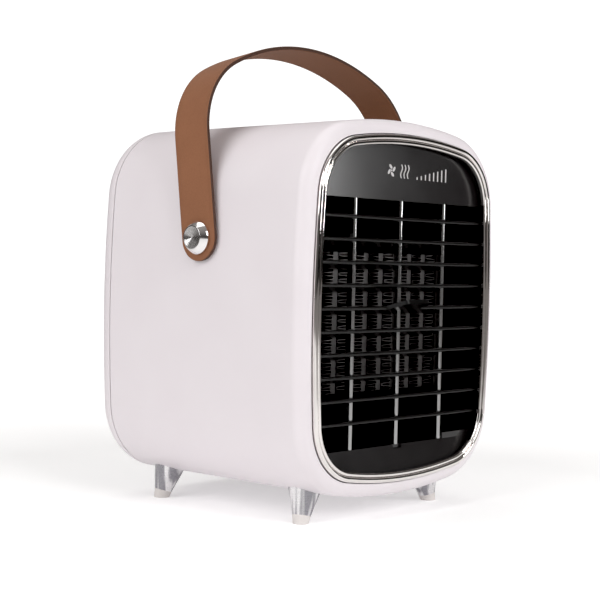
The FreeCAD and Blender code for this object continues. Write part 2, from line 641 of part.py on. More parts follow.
def finger_tab(y, z):
    """A tapered tab that carries the blade's plane forward, with rounded tip corners and grip lines."""
    root_y, tip_y = y - LOUVER_MID, y - LOUVER_NOSE - TAB_REACH
    half_root, half_tip = TAB_ROOT_WIDTH / 2, TAB_TIP_WIDTH / 2
    low = z - LOUVER_NOSE_THICKNESS / 2
    corners = [V(-half_root, root_y, low), V(-half_tip, tip_y, low), V(half_tip, tip_y, low), V(half_root, root_y, low)]
    tab = prism(corners, V(0, 0, LOUVER_NOSE_THICKNESS))
    tip_edges = [e for e in tab.Edges if e.BoundBox.ZLength > 1 and e.BoundBox.YMin < tip_y + 0.5]
    tab = tab.makeFillet(2.0, tip_edges)
    grooves = [x_rod(0.3, tip_y + 1.6 + 1.4 * k, low + LOUVER_NOSE_THICKNESS, -half_tip + 2, half_tip - 2)
               for k in range(3)]
    return tab.cut(Part.makeCompound(grooves))


def link_bar():
    """The upright bar that joins the louvers' crank pins."""
    top, bottom = LOUVER_ZS[0] - CRANK_DROP + LINK_END, LOUVER_ZS[-1] - CRANK_DROP - LINK_END
    bar = box(LINK_X - LINK_WIDTH / 2, LINK_X + LINK_WIDTH / 2, CRANK_Y - LINK_DEPTH / 2,
              CRANK_Y + LINK_DEPTH / 2, bottom, top)
    end_edges = [e for e in bar.Edges if e.BoundBox.XLength > 1]
    bar = bar.makeFillet(1.0, end_edges)
    holes = [x_rod(CRANK_PIN_R + PIVOT_CLEARANCE, CRANK_Y, z - CRANK_DROP, LINK_X - 3, LINK_X + 3)
             for z in LOUVER_ZS]
    return bar.cut(Part.makeCompound(holes))


# Heater core

CORE_HALF = CORE_WIDTH / 2
CORE_TOP_Z = CORE_BOTTOM_Z + CORE_HEIGHT
FRAME_HALF = CORE_HALF + CORE_FRAME_WALL
FRAME_BOTTOM = CORE_BOTTOM_Z - CORE_FRAME_WALL
FRAME_TOP = CORE_TOP_Z + CORE_FRAME_WALL
CORE_SCREW_ZS = (FRAME_BOTTOM - CORE_SCREW_OUT, FRAME_TOP + CORE_SCREW_OUT)
CORE_SCREW_SPOTS = [(s * (FRAME_HALF + CORE_SCREW_OUT), z) for s in (-1, 1) for z in CORE_SCREW_ZS]


def core_box(grow, y0, y1):
    """A block around the core's frame, grown by grow on its four sides."""
    return box(-FRAME_HALF - grow, FRAME_HALF + grow, y0, y1, FRAME_BOTTOM - grow, FRAME_TOP + grow)


def core_screw_holes(y0, y1):
    return [y_rod(CORE_SCREW[0] + SCREW_PLAY, x, z, y0 - 1, y1 + 1) for x, z in CORE_SCREW_SPOTS]


def ptc_frame():
    tube = core_box(0, CORE_FRONT_Y, CORE_BACK_Y)
    flange = core_box(CORE_FLANGE, BAFFLE_BACK_Y, CORE_FLANGE_BACK_Y)
    window = box(-CORE_HALF, CORE_HALF, CORE_FRONT_Y - 1, CORE_BACK_Y + 1, CORE_BOTTOM_Z, CORE_TOP_Z)
    cuts = [window] + core_screw_holes(BAFFLE_BACK_Y, CORE_FLANGE_BACK_Y)
    cuts += [y_rod(BAFFLE_SCREW[1] + HOLE_PLAY, x, z, BAFFLE_BACK_Y - 1, CORE_FLANGE_BACK_Y + 1)
             for x, z in BAFFLE_SPOTS]
    return fuse(tube, flange).cut(Part.makeCompound(cuts)).removeSplitter()


def core_column_x(k):
    """Left edge of fin column k."""
    return -CORE_HALF + k * (FIN_WIDTH + CERAMIC_WIDTH)


def ptc_fins():
    """Folded aluminium sheet in upright columns: one zigzag strip in each column."""
    folds = 2 * int(CORE_HEIGHT / FIN_PERIOD)
    step = CORE_HEIGHT / folds
    half = FIN_SHEET / 2 * math.hypot(FIN_WIDTH, step) / step
    columns = []
    for k in range(FIN_COLUMNS):
        left, right = core_column_x(k) + half, core_column_x(k) + FIN_WIDTH - half
        path = [(left if n % 2 else right, CORE_BOTTOM_Z + n * step) for n in range(folds + 1)]
        near = [V(x - half, CORE_FRONT_Y, z) for x, z in path]
        far = [V(x + half, CORE_FRONT_Y, z) for x, z in reversed(path)]
        columns.append(prism(near + far, V(0, CORE_DEPTH, 0)))
    return columns


def ptc_ceramics():
    """Ceramic strips with their contact plates, between the fin columns."""
    strips = []
    for k in range(FIN_COLUMNS - 1):
        x = core_column_x(k) + FIN_WIDTH
        strips.append(box(x, x + CERAMIC_WIDTH, CORE_FRONT_Y + 0.6, CORE_BACK_Y - 0.6, CORE_BOTTOM_Z, CORE_TOP_Z))
    return strips


TERMINAL_SIZE = (0.8, 8.0, 6.3)


def ptc_terminals():
    """Blade terminals that stand back from three of the ceramic strips."""
    thickness, length, width = TERMINAL_SIZE
    y = CORE_BACK_Y - 0.6
    x_places = [core_column_x(k) + FIN_WIDTH + CERAMIC_WIDTH / 2 for k in (1, 3, 5)]
    z = CORE_TOP_Z - 2 * width
    return [box(x - thickness / 2, x + thickness / 2, y, y + length, z, z + width) for x in x_places]


def duct_baffle():
    """The plate that makes all the air pass through the core."""
    plate = slab(BAFFLE_INSET, FRAME_REAR_Y, BAFFLE_BACK_Y)
    cuts = [core_box(PLATE_GAP, FRAME_REAR_Y - 1, BAFFLE_BACK_Y + 1)]
    cuts += core_screw_holes(FRAME_REAR_Y, BAFFLE_BACK_Y)
    cuts += [y_rod(BAFFLE_SCREW[0] + HOLE_PLAY, x, z, FRAME_REAR_Y - 1, BAFFLE_BACK_Y + 1)
             for x, z in BAFFLE_SPOTS]
    cuts += leg_reliefs()
    return plate.cut(Part.makeCompound(cuts))


def baffle_screws():
    return [screw(BAFFLE_SCREW, x, z, BAFFLE_BACK_Y, -1, 10) for x, z in BAFFLE_SPOTS]


def core_screws():
    seat_y = CORE_FLANGE_BACK_Y + DUCT_WALL
    return [screw(CORE_SCREW, x, z, seat_y, -1, 7.5) for x, z in CORE_SCREW_SPOTS]


# Fan

def fan_duct():
    """A square shroud behind the core that narrows to the fan's ring, with the motor's spider."""
    inner = core_box(PLATE_GAP, CORE_FLANGE_BACK_Y - 1, DUCT_BACK_Y - DUCT_WALL)
    shroud = core_box(PLATE_GAP + DUCT_WALL, CORE_FLANGE_BACK_Y, DUCT_BACK_Y)
    flange = core_box(CORE_FLANGE, CORE_FLANGE_BACK_Y, CORE_FLANGE_BACK_Y + DUCT_WALL)
    ring_y = DUCT_BACK_Y - DUCT_WALL
    ring = y_rod(FAN_RING_R + DUCT_WALL, 0, CORE_MID_Z, ring_y, FAN_RING_END_Y)
    hollow = y_rod(FAN_RING_R, 0, CORE_MID_Z, ring_y - 1, FAN_RING_END_Y + 1)
    screws = core_screw_holes(CORE_FLANGE_BACK_Y, CORE_FLANGE_BACK_Y + DUCT_WALL)
    duct = fuse(shroud, flange, ring).cut(Part.makeCompound([inner, *screws])).cut(hollow)
    spokes = []
    for angle in SPOKE_ANGLES:
        spoke = box(0, FAN_RING_R + 1, SPIDER_FRONT_Y, FAN_RING_END_Y,
                    CORE_MID_Z - SPOKE_WIDTH / 2, CORE_MID_Z + SPOKE_WIDTH / 2)
        spoke.rotate(V(0, 0, CORE_MID_Z), V(0, 1, 0), angle)
        spokes.append(spoke)
    plate = y_rod(MOTOR_R + 1.5, 0, CORE_MID_Z, SPIDER_FRONT_Y, FAN_RING_END_Y)
    holes = [y_rod(SHAFT_R + 1.0, 0, CORE_MID_Z, SPIDER_FRONT_Y - 1, FAN_RING_END_Y + 1)]
    holes += [y_rod(MOTOR_SCREW[0] + SCREW_PLAY, x, z, SPIDER_FRONT_Y - 1, FAN_RING_END_Y + 1)
              for x, z in MOTOR_SPOTS]
    return fuse(duct, plate, *spokes).cut(Part.makeCompound(holes)).removeSplitter()


SPOKE_ANGLES = (30, 150, 270)
MOTOR_SCREW_CIRCLE = 9.0
MOTOR_SPOTS = [
    (MOTOR_SCREW_CIRCLE * math.cos(math.radians(a)), CORE_MID_Z + MOTOR_SCREW_CIRCLE * math.sin(math.radians(a)))
    for a in (90, 210, 330)
]
SHAFT_REAR_Y = MOTOR_FRONT_Y + MOTOR_LENGTH - 4


def fan_motor():
    can = y_rod(MOTOR_R, 0, CORE_MID_Z, MOTOR_FRONT_Y, MOTOR_FRONT_Y + MOTOR_LENGTH)
    rear_edge = edges_at_y(can, MOTOR_FRONT_Y + MOTOR_LENGTH)
    can = can.makeFillet(2.0, rear_edge)
    bearing = y_rod(4.5, 0, CORE_MID_Z, MOTOR_FRONT_Y + MOTOR_LENGTH - 1, MOTOR_FRONT_Y + MOTOR_LENGTH + 2)
    bore = y_rod(SHAFT_R + SCREW_PLAY, 0, CORE_MID_Z, MOTOR_FRONT_Y - 1, SHAFT_REAR_Y + 0.5)
    holes = [y_rod(MOTOR_SCREW[0] + SCREW_PLAY, x, z, MOTOR_FRONT_Y - 1, MOTOR_FRONT_Y + 5)
             for x, z in MOTOR_SPOTS]
    return fuse(can, bearing).cut(Part.makeCompound([bore] + holes))


def motor_screws():
    return [screw(MOTOR_SCREW, x, z, SPIDER_FRONT_Y, 1, SPOKE_THICKNESS + 4) for x, z in MOTOR_SPOTS]


def motor_shaft():
    return y_rod(SHAFT_R, 0, CORE_MID_Z, HUB_FRONT_Y + 1, SHAFT_REAR_Y)


def fan_impeller():
    hub = y_rod(HUB_R, 0, CORE_MID_Z, HUB_FRONT_Y, HUB_FRONT_Y + HUB_LENGTH)
    hub = hub.makeFillet(3.0, edges_at_y(hub, HUB_FRONT_Y))
    tip_r = FAN_RING_R - BLADE_TIP_GAP
    mid_y = HUB_FRONT_Y + HUB_LENGTH / 2
    reach = y_rod(tip_r, 0, CORE_MID_Z, HUB_FRONT_Y + BLADE_EDGE_INSET,
                  HUB_FRONT_Y + HUB_LENGTH - BLADE_EDGE_INSET)
    blades = []
    for k in range(BLADE_COUNT):
        blade = box(HUB_R - 1, tip_r + 5, mid_y - BLADE_THICKNESS / 2, mid_y + BLADE_THICKNESS / 2,
                    CORE_MID_Z - BLADE_CHORD / 2, CORE_MID_Z + BLADE_CHORD / 2)
        blade.rotate(V(0, mid_y, CORE_MID_Z), V(1, 0, 0), BLADE_PITCH)
        blade.rotate(V(0, mid_y, CORE_MID_Z), V(0, 1, 0), 360 * k / BLADE_COUNT)
        blades.append(blade.common(reach))
    bore = y_rod(SHAFT_R, 0, CORE_MID_Z, HUB_FRONT_Y + 1, HUB_FRONT_Y + HUB_LENGTH + 1)
    return hub.cut(bore).multiFuse(blades)


# Safety parts and wiring block

CUTOFF_R = 7.5
CUTOFF_HEIGHT = 6.0
FUSE_R = 1.9
FUSE_LENGTH = 11.0
TILT_SWITCH_SIZE = (14.0, 12.0, 16.0)
TILT_SWITCH_PLACE = (-22.0, 26.0)
BLOCK_SIZE = (26.0, 12.0, 11.0)
BLOCK_PLACE = (22.0, 36.0)
DUCT_TOP_Z = FRAME_TOP + PLATE_GAP + DUCT_WALL


def thermal_cutoff():
    """A disc thermostat on top of the shroud, with its mounting ears and two tabs."""
    y = DUCT_BACK_Y - 12
    x = -18
    disc = rod(CUTOFF_R, V(x, y, DUCT_TOP_Z), V(x, y, DUCT_TOP_Z + CUTOFF_HEIGHT))
    ears = box(x - 12, x + 12, y - 3, y + 3, DUCT_TOP_Z, DUCT_TOP_Z + 0.8)
    tabs = [box(x + s * 3.5 - 0.4, x + s * 3.5 + 0.4, y - 2.4, y + 2.4, DUCT_TOP_Z + CUTOFF_HEIGHT - 0.5,
                DUCT_TOP_Z + CUTOFF_HEIGHT + 6) for s in (-1, 1)]
    return fuse(disc, ears, *tabs)


def thermal_fuse():
    """A small one-shot fuse with its leads, lying on top of the shroud."""
    y = DUCT_BACK_Y - 10
    z = DUCT_TOP_Z + FUSE_R
    can = x_rod(FUSE_R, y, z, 14, 14 + FUSE_LENGTH)
    leads = x_rod(0.5, y, z, 9, 19 + FUSE_LENGTH)
    return fuse(can, leads)


def on_the_floor(size, place, post_r):
    """A block that stands level on two posts from the casing's inner floor."""
    sx, sy, sz = size
    x, y = place
    base = floor_height_at(abs(x) + sx / 2, WALL) + 1
    block = box(x - sx / 2, x + sx / 2, y - sy / 2, y + sy / 2, base, base + sz)
    outside = slab(WALL, FRONT_Y, REAR_Y)
    posts = [rod(post_r, V(px, y, MID_Z - HALF_H), V(px, y, base + 1)).common(outside)
             for px in (x - sx / 4, x + sx / 4)]
    return fuse(block, *posts)


def tilt_switch():
    return on_the_floor(TILT_SWITCH_SIZE, TILT_SWITCH_PLACE, 2.0)


def terminal_block():
    block = on_the_floor(BLOCK_SIZE, BLOCK_PLACE, 2.5)
    x, y = BLOCK_PLACE
    top = block.BoundBox.ZMax
    wells = [rod(2.4, V(x + dx, y, top - 6), V(x + dx, y, top + 1)) for dx in (-8.5, 0, 8.5)]
    return block.cut(Part.makeCompound(wells))


# Strap handle

def strap_face(x_offset):
    """The strap's line offset outwards by x_offset, as arcs and lines from the left end to the right end."""
    arm_x = STRAP_X + x_offset
    crown_z = STRAP_PIVOT_Z + STRAP_HEIGHT - STRAP_CROWN_R
    shoulder_x = STRAP_X - STRAP_SHOULDER_R
    between = STRAP_CROWN_R - STRAP_SHOULDER_R
    shoulder_z = crown_z + math.sqrt(between**2 - shoulder_x**2)
    join = math.atan2(shoulder_z - crown_z, shoulder_x)
    shoulder_r = STRAP_SHOULDER_R + x_offset
    crown_r = STRAP_CROWN_R + x_offset
    end_z = STRAP_PIVOT_Z - STRAP_END_R
    end, arm_top = (arm_x, end_z), (arm_x, shoulder_z)
    mid = (shoulder_x + shoulder_r * math.cos(join / 2), shoulder_z + shoulder_r * math.sin(join / 2))
    crown_end = (crown_r * math.cos(join), crown_z + crown_r * math.sin(join))
    return end, arm_top, mid, crown_end, (0.0, crown_z + crown_r)


def strap():
    """The strap's side view between its two faces, swept across its width and leaned back."""
    y0 = STRAP_PIVOT_Y - STRAP_WIDTH / 2
    edges = []
    for offset in (STRAP_THICKNESS / 2, -STRAP_THICKNESS / 2):
        end, arm_top, mid, crown_end, apex = strap_face(offset)
        left = {name: V(-p[0], y0, p[1]) for name, p in zip("etmc", (end, arm_top, mid, crown_end))}
        right = {name: V(p[0], y0, p[1]) for name, p in zip("etmc", (end, arm_top, mid, crown_end))}
        edges += [
            Part.LineSegment(left["e"], left["t"]), Part.Arc(left["t"], left["m"], left["c"]),
            Part.Arc(left["c"], V(0, y0, apex[1]), right["c"]),
            Part.Arc(right["c"], right["m"], right["t"]), Part.LineSegment(right["t"], right["e"]),
        ]
    outer, inner = strap_face(STRAP_THICKNESS / 2)[0], strap_face(-STRAP_THICKNESS / 2)[0]
    for s in (-1, 1):
        edges.append(Part.LineSegment(V(s * outer[0], y0, outer[1]), V(s * inner[0], y0, inner[1])))
    wire = Part.Wire(Part.__sortEdges__([edge.toShape() for edge in edges]))
    band_solid = Part.Face(wire).extrude(V(0, STRAP_WIDTH, 0))
    below = box(-HALF_W - 20, HALF_W + 20, y0 - 1, y0 + STRAP_WIDTH + 1,
                STRAP_PIVOT_Z - STRAP_END_R - 1, STRAP_PIVOT_Z)
    round_end = x_rod(STRAP_END_R, STRAP_PIVOT_Y, STRAP_PIVOT_Z, -HALF_W - 25, HALF_W + 25)
    hole = x_rod(RIVET_R + PIVOT_CLEARANCE, STRAP_PIVOT_Y, STRAP_PIVOT_Z, -HALF_W - 25, HALF_W + 25)
    band_solid = band_solid.cut(below.cut(round_end)).cut(hole)
    return turned_about_x(band_solid, STRAP_PIVOT_Y, STRAP_PIVOT_Z, -STRAP_LEAN)


def polygon_wire(x, radius):
    angles = [2 * math.pi * (k + 0.5) / RIVET_FACETS for k in range(RIVET_FACETS)]
    points = [V(x, STRAP_PIVOT_Y + radius * math.cos(a), STRAP_PIVOT_Z + radius * math.sin(a)) for a in angles]
    return Part.makePolygon(points + points[:1])


def strap_rivet_left():
    """A screw rivet: a faceted head with a dished middle, on a shaft through the strap."""
    seat = -(STRAP_X + STRAP_THICKNESS / 2 + WASHER_PLAY)
    rim, top = seat - 1.1, seat - RIVET_HEAD_HEIGHT
    base = x_rod(RIVET_HEAD_R, STRAP_PIVOT_Y, STRAP_PIVOT_Z, rim, seat)
    facets = Part.makeLoft([polygon_wire(rim, RIVET_HEAD_R - 0.1), polygon_wire(top, 4.6)], True, True)
    dish = Part.makeCone(3.9, 2.6, 0.9, V(top, STRAP_PIVOT_Y, STRAP_PIVOT_Z), V(1, 0, 0))
    shaft = x_rod(RIVET_R, STRAP_PIVOT_Y, STRAP_PIVOT_Z, seat - 0.5, -(NUT_FACE_X - NUT_THICKNESS - 0.7))
    return fuse(base, facets, shaft).cut(dish)


def strap_rivet_right():
    return mirror_x(strap_rivet_left())


def strap_washers():
    spot_x = half_width_at(STRAP_PIVOT_Z, 0) - SPOT_FACE_DEPTH
    washer = x_rod(WASHER_R, STRAP_PIVOT_Y, STRAP_PIVOT_Z, -WASHER_FACE_X, -spot_x)
    hole = x_rod(RIVET_R + SCREW_PLAY, STRAP_PIVOT_Y, STRAP_PIVOT_Z, -HALF_W - 5, -HALF_W + 5)
    left = washer.cut(hole)
    return [left, mirror_x(left)]


def strap_nuts():
    corners = [math.radians(60 * k) for k in range(6)]
    points = [V(-NUT_FACE_X, STRAP_PIVOT_Y + NUT_R * math.cos(a), STRAP_PIVOT_Z + NUT_R * math.sin(a))
              for a in corners]
    nut = prism(points, V(NUT_THICKNESS, 0, 0))
    hole = x_rod(RIVET_R + SCREW_PLAY, STRAP_PIVOT_Y, STRAP_PIVOT_Z, -HALF_W, 0)
    left = nut.cut(hole)
    return [left, mirror_x(left)]


# Legs

def leg(sx, sy):
    """A turned cone, cut to the casing's curved underside, drilled for its screw and its tip."""
    start_z = LEG_TOP_Z + 5
    start, end = along_leg(sx, sy, start_z), along_leg(sx, sy, LEG_END_Z)
    axis = end - start
    taper = (LEG_TOP_R - LEG_END_R) / (LEG_TOP_Z - LEG_END_Z)
    start_r = LEG_END_R + taper * (start_z - LEG_END_Z)
    cone = Part.makeCone(start_r, LEG_END_R, axis.Length, start, axis)
    cone = cone.cut(slab(0, FRONT_Y, REAR_Y))
    screw_hole = rod(LEG_SCREW_R + SCREW_PLAY, along_leg(sx, sy, LEG_TOP_Z + 9), along_leg(sx, sy, leg_screw_end_z()))
    stem_hole = rod(TIP_STEM_R + SCREW_PLAY, end, along_leg(sx, sy, LEG_END_Z + TIP_STEM_LENGTH + 0.3))
    return cone.cut(Part.makeCompound([screw_hole, stem_hole]))


def leg_screw_end_z():
    return LEG_TOP_Z - LEG_SCREW_BITE


def foot_tip(sx, sy):
    """A rubber tip with a stem in the leg, cut level where it stands on the floor."""
    top, bottom = along_leg(sx, sy, LEG_END_Z), along_leg(sx, sy, -3.0)
    axis = bottom - top
    end_r = LEG_END_R - (LEG_END_R - TIP_END_R) * (LEG_END_Z + 3.0) / LEG_END_Z
    cone = Part.makeCone(LEG_END_R, end_r, axis.Length, top, axis)
    stem = rod(TIP_STEM_R, along_leg(sx, sy, LEG_END_Z + TIP_STEM_LENGTH), along_leg(sx, sy, LEG_END_Z - 0.5))
    below = box(-HALF_W * 2, HALF_W * 2, REAR_Y * -2, REAR_Y * 2, -20, 0)
    return fuse(cone.cut(below), stem)


def leg_screws():
    """Screws from inside the casing, down through its bosses into the legs."""
    screws = []
    for sx, sy in LEG_SIGNS:
        seat, end = along_leg(sx, sy, LEG_BOSS_TOP_Z), along_leg(sx, sy, leg_screw_end_z() + 0.4)
        head_top = along_leg(sx, sy, LEG_BOSS_TOP_Z + LEG_SCREW_HEAD)
        screws.append(fuse(rod(LEG_SCREW_R, seat, end), rod(LEG_SCREW_HEAD_R, seat, head_top)))
    return screws


# Rocker switch and cord gland

ROCKER_PIVOT_Y = REAR_Y - 1.6
ROCKER_KEY_DEPTH = 5.0
ROCKER_KEY_CROWN = 3.4
ROCKER_EDGE_DROP = 1.5


def rocker_housing():
    """A snap-in switch body with a rim, open to the rear for its key."""
    half_w, half_h = ROCKER_WIDTH / 2, ROCKER_HEIGHT / 2
    front_y = INNER_COVER_Y - ROCKER_DEPTH
    body = box(-half_w, half_w, front_y, REAR_Y, ROCKER_Z - half_h, ROCKER_Z + half_h)
    rim = box(-half_w - 1.6, half_w + 1.6, REAR_Y, REAR_Y + ROCKER_FLANGE,
              ROCKER_Z - half_h - 1.6, ROCKER_Z + half_h + 1.6)
    rim = rim.makeFillet(1.2, [e for e in rim.Edges if e.BoundBox.YLength > 1])
    well = box(-half_w + ROCKER_WALL, half_w - ROCKER_WALL, REAR_Y - 9, REAR_Y + 3,
               ROCKER_Z - half_h + ROCKER_WALL, ROCKER_Z + half_h - ROCKER_WALL)
    pin_hole = x_rod(ROCKER_PIN_R + PIVOT_CLEARANCE, ROCKER_PIVOT_Y, ROCKER_Z, -half_w - 0.5, half_w + 0.5)
    blades = [box(-3.2, 3.2, front_y - 7, front_y + 0.5, ROCKER_Z + dz - 0.4, ROCKER_Z + dz + 0.4)
              for dz in (-6, 0, 6)]
    return fuse(body, rim, *blades).cut(Part.makeCompound([well, pin_hole])).removeSplitter()


def rocker_key():
    """The three-position key: a shallow trough between two raised ends, on a cross pin."""
    half_w = ROCKER_WIDTH / 2 - ROCKER_WALL - ROCKER_GAP
    half_h = ROCKER_HEIGHT / 2 - ROCKER_WALL - ROCKER_EDGE_DROP
    crown_y = REAR_Y + ROCKER_KEY_CROWN
    back_y = ROCKER_PIVOT_Y - ROCKER_KEY_DEPTH / 2
    profile = [(-half_h, back_y + 1.6), (0, back_y), (half_h, back_y + 1.6),
               (half_h, crown_y), (0, crown_y - 2.0), (-half_h, crown_y)]
    key = prism([V(-half_w, y, ROCKER_Z + z) for z, y in profile], V(2 * half_w, 0, 0))
    pin = x_rod(ROCKER_PIN_R, ROCKER_PIVOT_Y, ROCKER_Z, -ROCKER_WIDTH / 2 + 0.2, ROCKER_WIDTH / 2 - 0.2)
    return fuse(key, pin)


# The gland's sleeve stands out behind as far as the tab does in front, so the footprint is centred.
TAB_FRONT_Y = (LOUVER_PIVOT_Y - (LOUVER_NOSE + TAB_REACH) * math.cos(math.radians(LOUVER_TILT))
               - LOUVER_NOSE_THICKNESS / 2 * math.sin(math.radians(LOUVER_TILT)))
GLAND_END_Y = -TAB_FRONT_Y


def cord_gland():
    """A round threaded gland through the rear cover, with a flange and a sleeve outside."""
    inner_y = REAR_Y - GLAND_INSIDE - COVER_WALL
    neck = y_rod(GLAND_NECK_R - SCREW_PLAY, GLAND_X, GLAND_Z, inner_y, REAR_Y + 0.5)
    flange = y_rod(GLAND_FLANGE_R, GLAND_X, GLAND_Z, REAR_Y, REAR_Y + GLAND_FLANGE)
    flange = flange.makeFillet(1.2, edges_at_y(flange, REAR_Y + GLAND_FLANGE))
    sleeve = y_rod(GLAND_SLEEVE_R, GLAND_X, GLAND_Z, REAR_Y, GLAND_END_Y)
    sleeve = sleeve.makeFillet(0.8, edges_at_y(sleeve, GLAND_END_Y))
    bore = y_rod(GLAND_BORE_R, GLAND_X, GLAND_Z, inner_y - 1, GLAND_END_Y + 1)
    return fuse(neck, flange, sleeve).cut(bore)


def gland_nut():
    nut = hexagon(GLAND_FLANGE_R + 0.6, GLAND_X, GLAND_Z, INNER_COVER_Y - GLAND_NUT, INNER_COVER_Y)
    return nut.cut(y_rod(GLAND_NECK_R, GLAND_X, GLAND_Z, REAR_Y - 20, REAR_Y))


# Writing the nodes

def save(name, made):
    """Writes one node, a single solid or a group of separate solids."""
    solids = made if isinstance(made, list) else [made]
    shape = solids[0] if len(solids) == 1 else Part.makeCompound(solids)
    shape.exportStep(f"{PARTS_FOLDER}/{name}.step")
    print(f"{name:22s} solids {len(shape.Solids):2d}  volume {shape.Volume:10.1f}  valid {shape.isValid()}")


def build_all():
    os.makedirs(PARTS_FOLDER, exist_ok=True)
    makers = [
        body_shell, rear_cover, rear_cover_screws, chrome_ring, front_frame, front_frame_screws,
        guard_ribs, link_bar, ptc_frame, ptc_fins, ptc_ceramics, ptc_terminals, duct_baffle,
        baffle_screws, core_screws, fan_duct, fan_motor, motor_screws, motor_shaft, fan_impeller,
        thermal_cutoff, thermal_fuse, tilt_switch, terminal_block, strap, strap_rivet_left,
        strap_rivet_right, strap_washers, strap_nuts, leg_screws, rocker_housing, rocker_key,
        cord_gland, gland_nut,
    ]
    for maker in makers:
        save(maker.__name__, maker())
    for number in range(1, LOUVER_COUNT + 1):
        save(f"louver_{number:02d}", louver(number))
    for sx, sy in LEG_SIGNS:
        place = f"{'front' if sy < 0 else 'rear'}_{'left' if sx < 0 else 'right'}"
        save(f"leg_{place}", leg(sx, sy))
        save(f"foot_tip_{place}", foot_tip(sx, sy))


build_all()
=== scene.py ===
# %% [markdown]
# # A ceramic desk heater with a leather strap
# The sizes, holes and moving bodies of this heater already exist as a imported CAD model. This lesson
# only dresses it: it gives every CAD node a finish, and models in Blender the few pieces whose look
# depends on soft or very fine shape, such as the leather strap and the folded heater fins.
# Loading the model first means that every later piece can take its place from it.

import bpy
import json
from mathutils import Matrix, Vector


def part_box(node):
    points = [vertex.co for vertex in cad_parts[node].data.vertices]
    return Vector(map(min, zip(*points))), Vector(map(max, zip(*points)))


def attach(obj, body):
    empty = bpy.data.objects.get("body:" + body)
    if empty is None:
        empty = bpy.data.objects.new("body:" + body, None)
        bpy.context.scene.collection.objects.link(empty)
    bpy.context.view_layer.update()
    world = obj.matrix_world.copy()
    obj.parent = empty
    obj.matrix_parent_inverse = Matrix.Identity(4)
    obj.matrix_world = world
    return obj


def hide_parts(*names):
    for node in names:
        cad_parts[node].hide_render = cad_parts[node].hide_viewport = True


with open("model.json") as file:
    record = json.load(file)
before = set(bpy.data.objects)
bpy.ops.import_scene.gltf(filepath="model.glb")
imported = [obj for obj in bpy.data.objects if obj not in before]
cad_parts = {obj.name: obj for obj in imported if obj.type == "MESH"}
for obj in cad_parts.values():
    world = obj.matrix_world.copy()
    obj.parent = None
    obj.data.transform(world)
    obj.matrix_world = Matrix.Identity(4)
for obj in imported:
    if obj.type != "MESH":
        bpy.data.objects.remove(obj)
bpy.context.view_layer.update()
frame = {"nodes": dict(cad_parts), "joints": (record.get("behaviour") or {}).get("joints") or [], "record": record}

# %% Imports and units
import json
import math

import bmesh
import bpy
from mathutils import Matrix, Quaternion, Vector

MM = 0.001
nodes = frame["nodes"]
joints = {joint["name"]: joint for joint in frame["joints"]}

# %% [markdown]
# ## Shader maths that reads like sums
# A material is a graph of nodes. Wiring each Math node by hand hides what is being worked out, so a
# small class wraps one output socket, and the usual operators add the Math nodes. A second class
# holds one graph and has one method that adds any other node, and a third is a graph whose
# Principled shader takes a material's constants. The world behind the heater is a graph as well.

# %% A wrapped socket
class Signal:
    """One output socket of a graph, with operators that add Math nodes."""

    def __init__(self, graph, socket):
        self.graph, self.socket = graph, socket

    def math(self, operation, *others):
        """Adds a Math node whose first input is this signal."""
        values = dict(enumerate((self, *others)))
        return self.graph.node("ShaderNodeMath", {"operation": operation}, values)

    def __add__(self, other):
        return self.math("ADD", other)

    def __sub__(self, other):
        return self.math("SUBTRACT", other)

    def __mul__(self, other):
        return self.math("MULTIPLY", other)

    def __rsub__(self, other):
        return self * -1.0 + other

    __radd__ = __add__
    __rmul__ = __mul__


print("signals can be added, subtracted and multiplied")


# %% A graph with one way to add nodes
class Graph:
    """The nodes of one material or world."""

    def __init__(self, tree):
        self.tree = tree
        tree.nodes.clear()

    def node(self, kind, settings=None, inputs=None, output=0):
        """Adds a node, sets its settings, then feeds its sockets with numbers or signals."""
        node = self.tree.nodes.new(kind)
        for name, value in (settings or {}).items():
            if name == "stops":
                self.set_stops(node.color_ramp, value)
            else:
                setattr(node, name, value)
        for name, value in (inputs or {}).items():
            self.feed(node.inputs[name], value)
        return Signal(self, node.outputs[output])

    def set_stops(self, ramp, stops):
        """Gives a colour ramp its (place, colour) stops."""
        while len(ramp.elements) < len(stops):
            ramp.elements.new(1.0)
        for element, (spot, colour) in zip(ramp.elements, stops):
            element.position, element.color = spot, colour

    def feed(self, socket, value):
        """Links a signal to the socket, or sets a plain value on it."""
        if isinstance(value, Signal):
            self.tree.links.new(value.socket, socket)
        else:
            socket.default_value = value

    def show(self, kind, surface):
        """Adds the output node and links the finished shader to it."""
        self.feed(self.tree.nodes.new(kind).inputs["Surface"], surface)


# %% A material
finishes = {}


class Finish(Graph):
    """One material: a Principled shader with its constants. Every finish is listed by its name."""

    def __init__(self, name, **constants):
        self.material = bpy.data.materials.new(name)
        self.material.use_nodes = True
        super().__init__(self.material.node_tree)
        surface = self.node("ShaderNodeBsdfPrincipled")
        self.shader = surface.socket.node
        self.show("ShaderNodeOutputMaterial", surface)
        self.set(**constants)
        finishes[name] = self

    def set(self, **signals):
        """Feeds the Principled shader's own sockets, named with _ for each space."""
        for name, signal in signals.items():
            self.feed(self.shader.inputs[name.replace("_", " ")], signal)


print("a", Finish.__name__, "is a", Graph.__name__, "with one Principled shader")

# %% [markdown]
# ## Patterns shared by many finishes
# Moulded plastic, leather and turned metal all vary a little from place to place. Noise on Object
# coordinates does this without any unwrapping, because every node's origin is the heater's own
# origin. Scales are given as the size in millimetres of one speck, which is easier to judge than a
# texture scale. Bump heights are given as real heights, in millimetres, for the same reason.

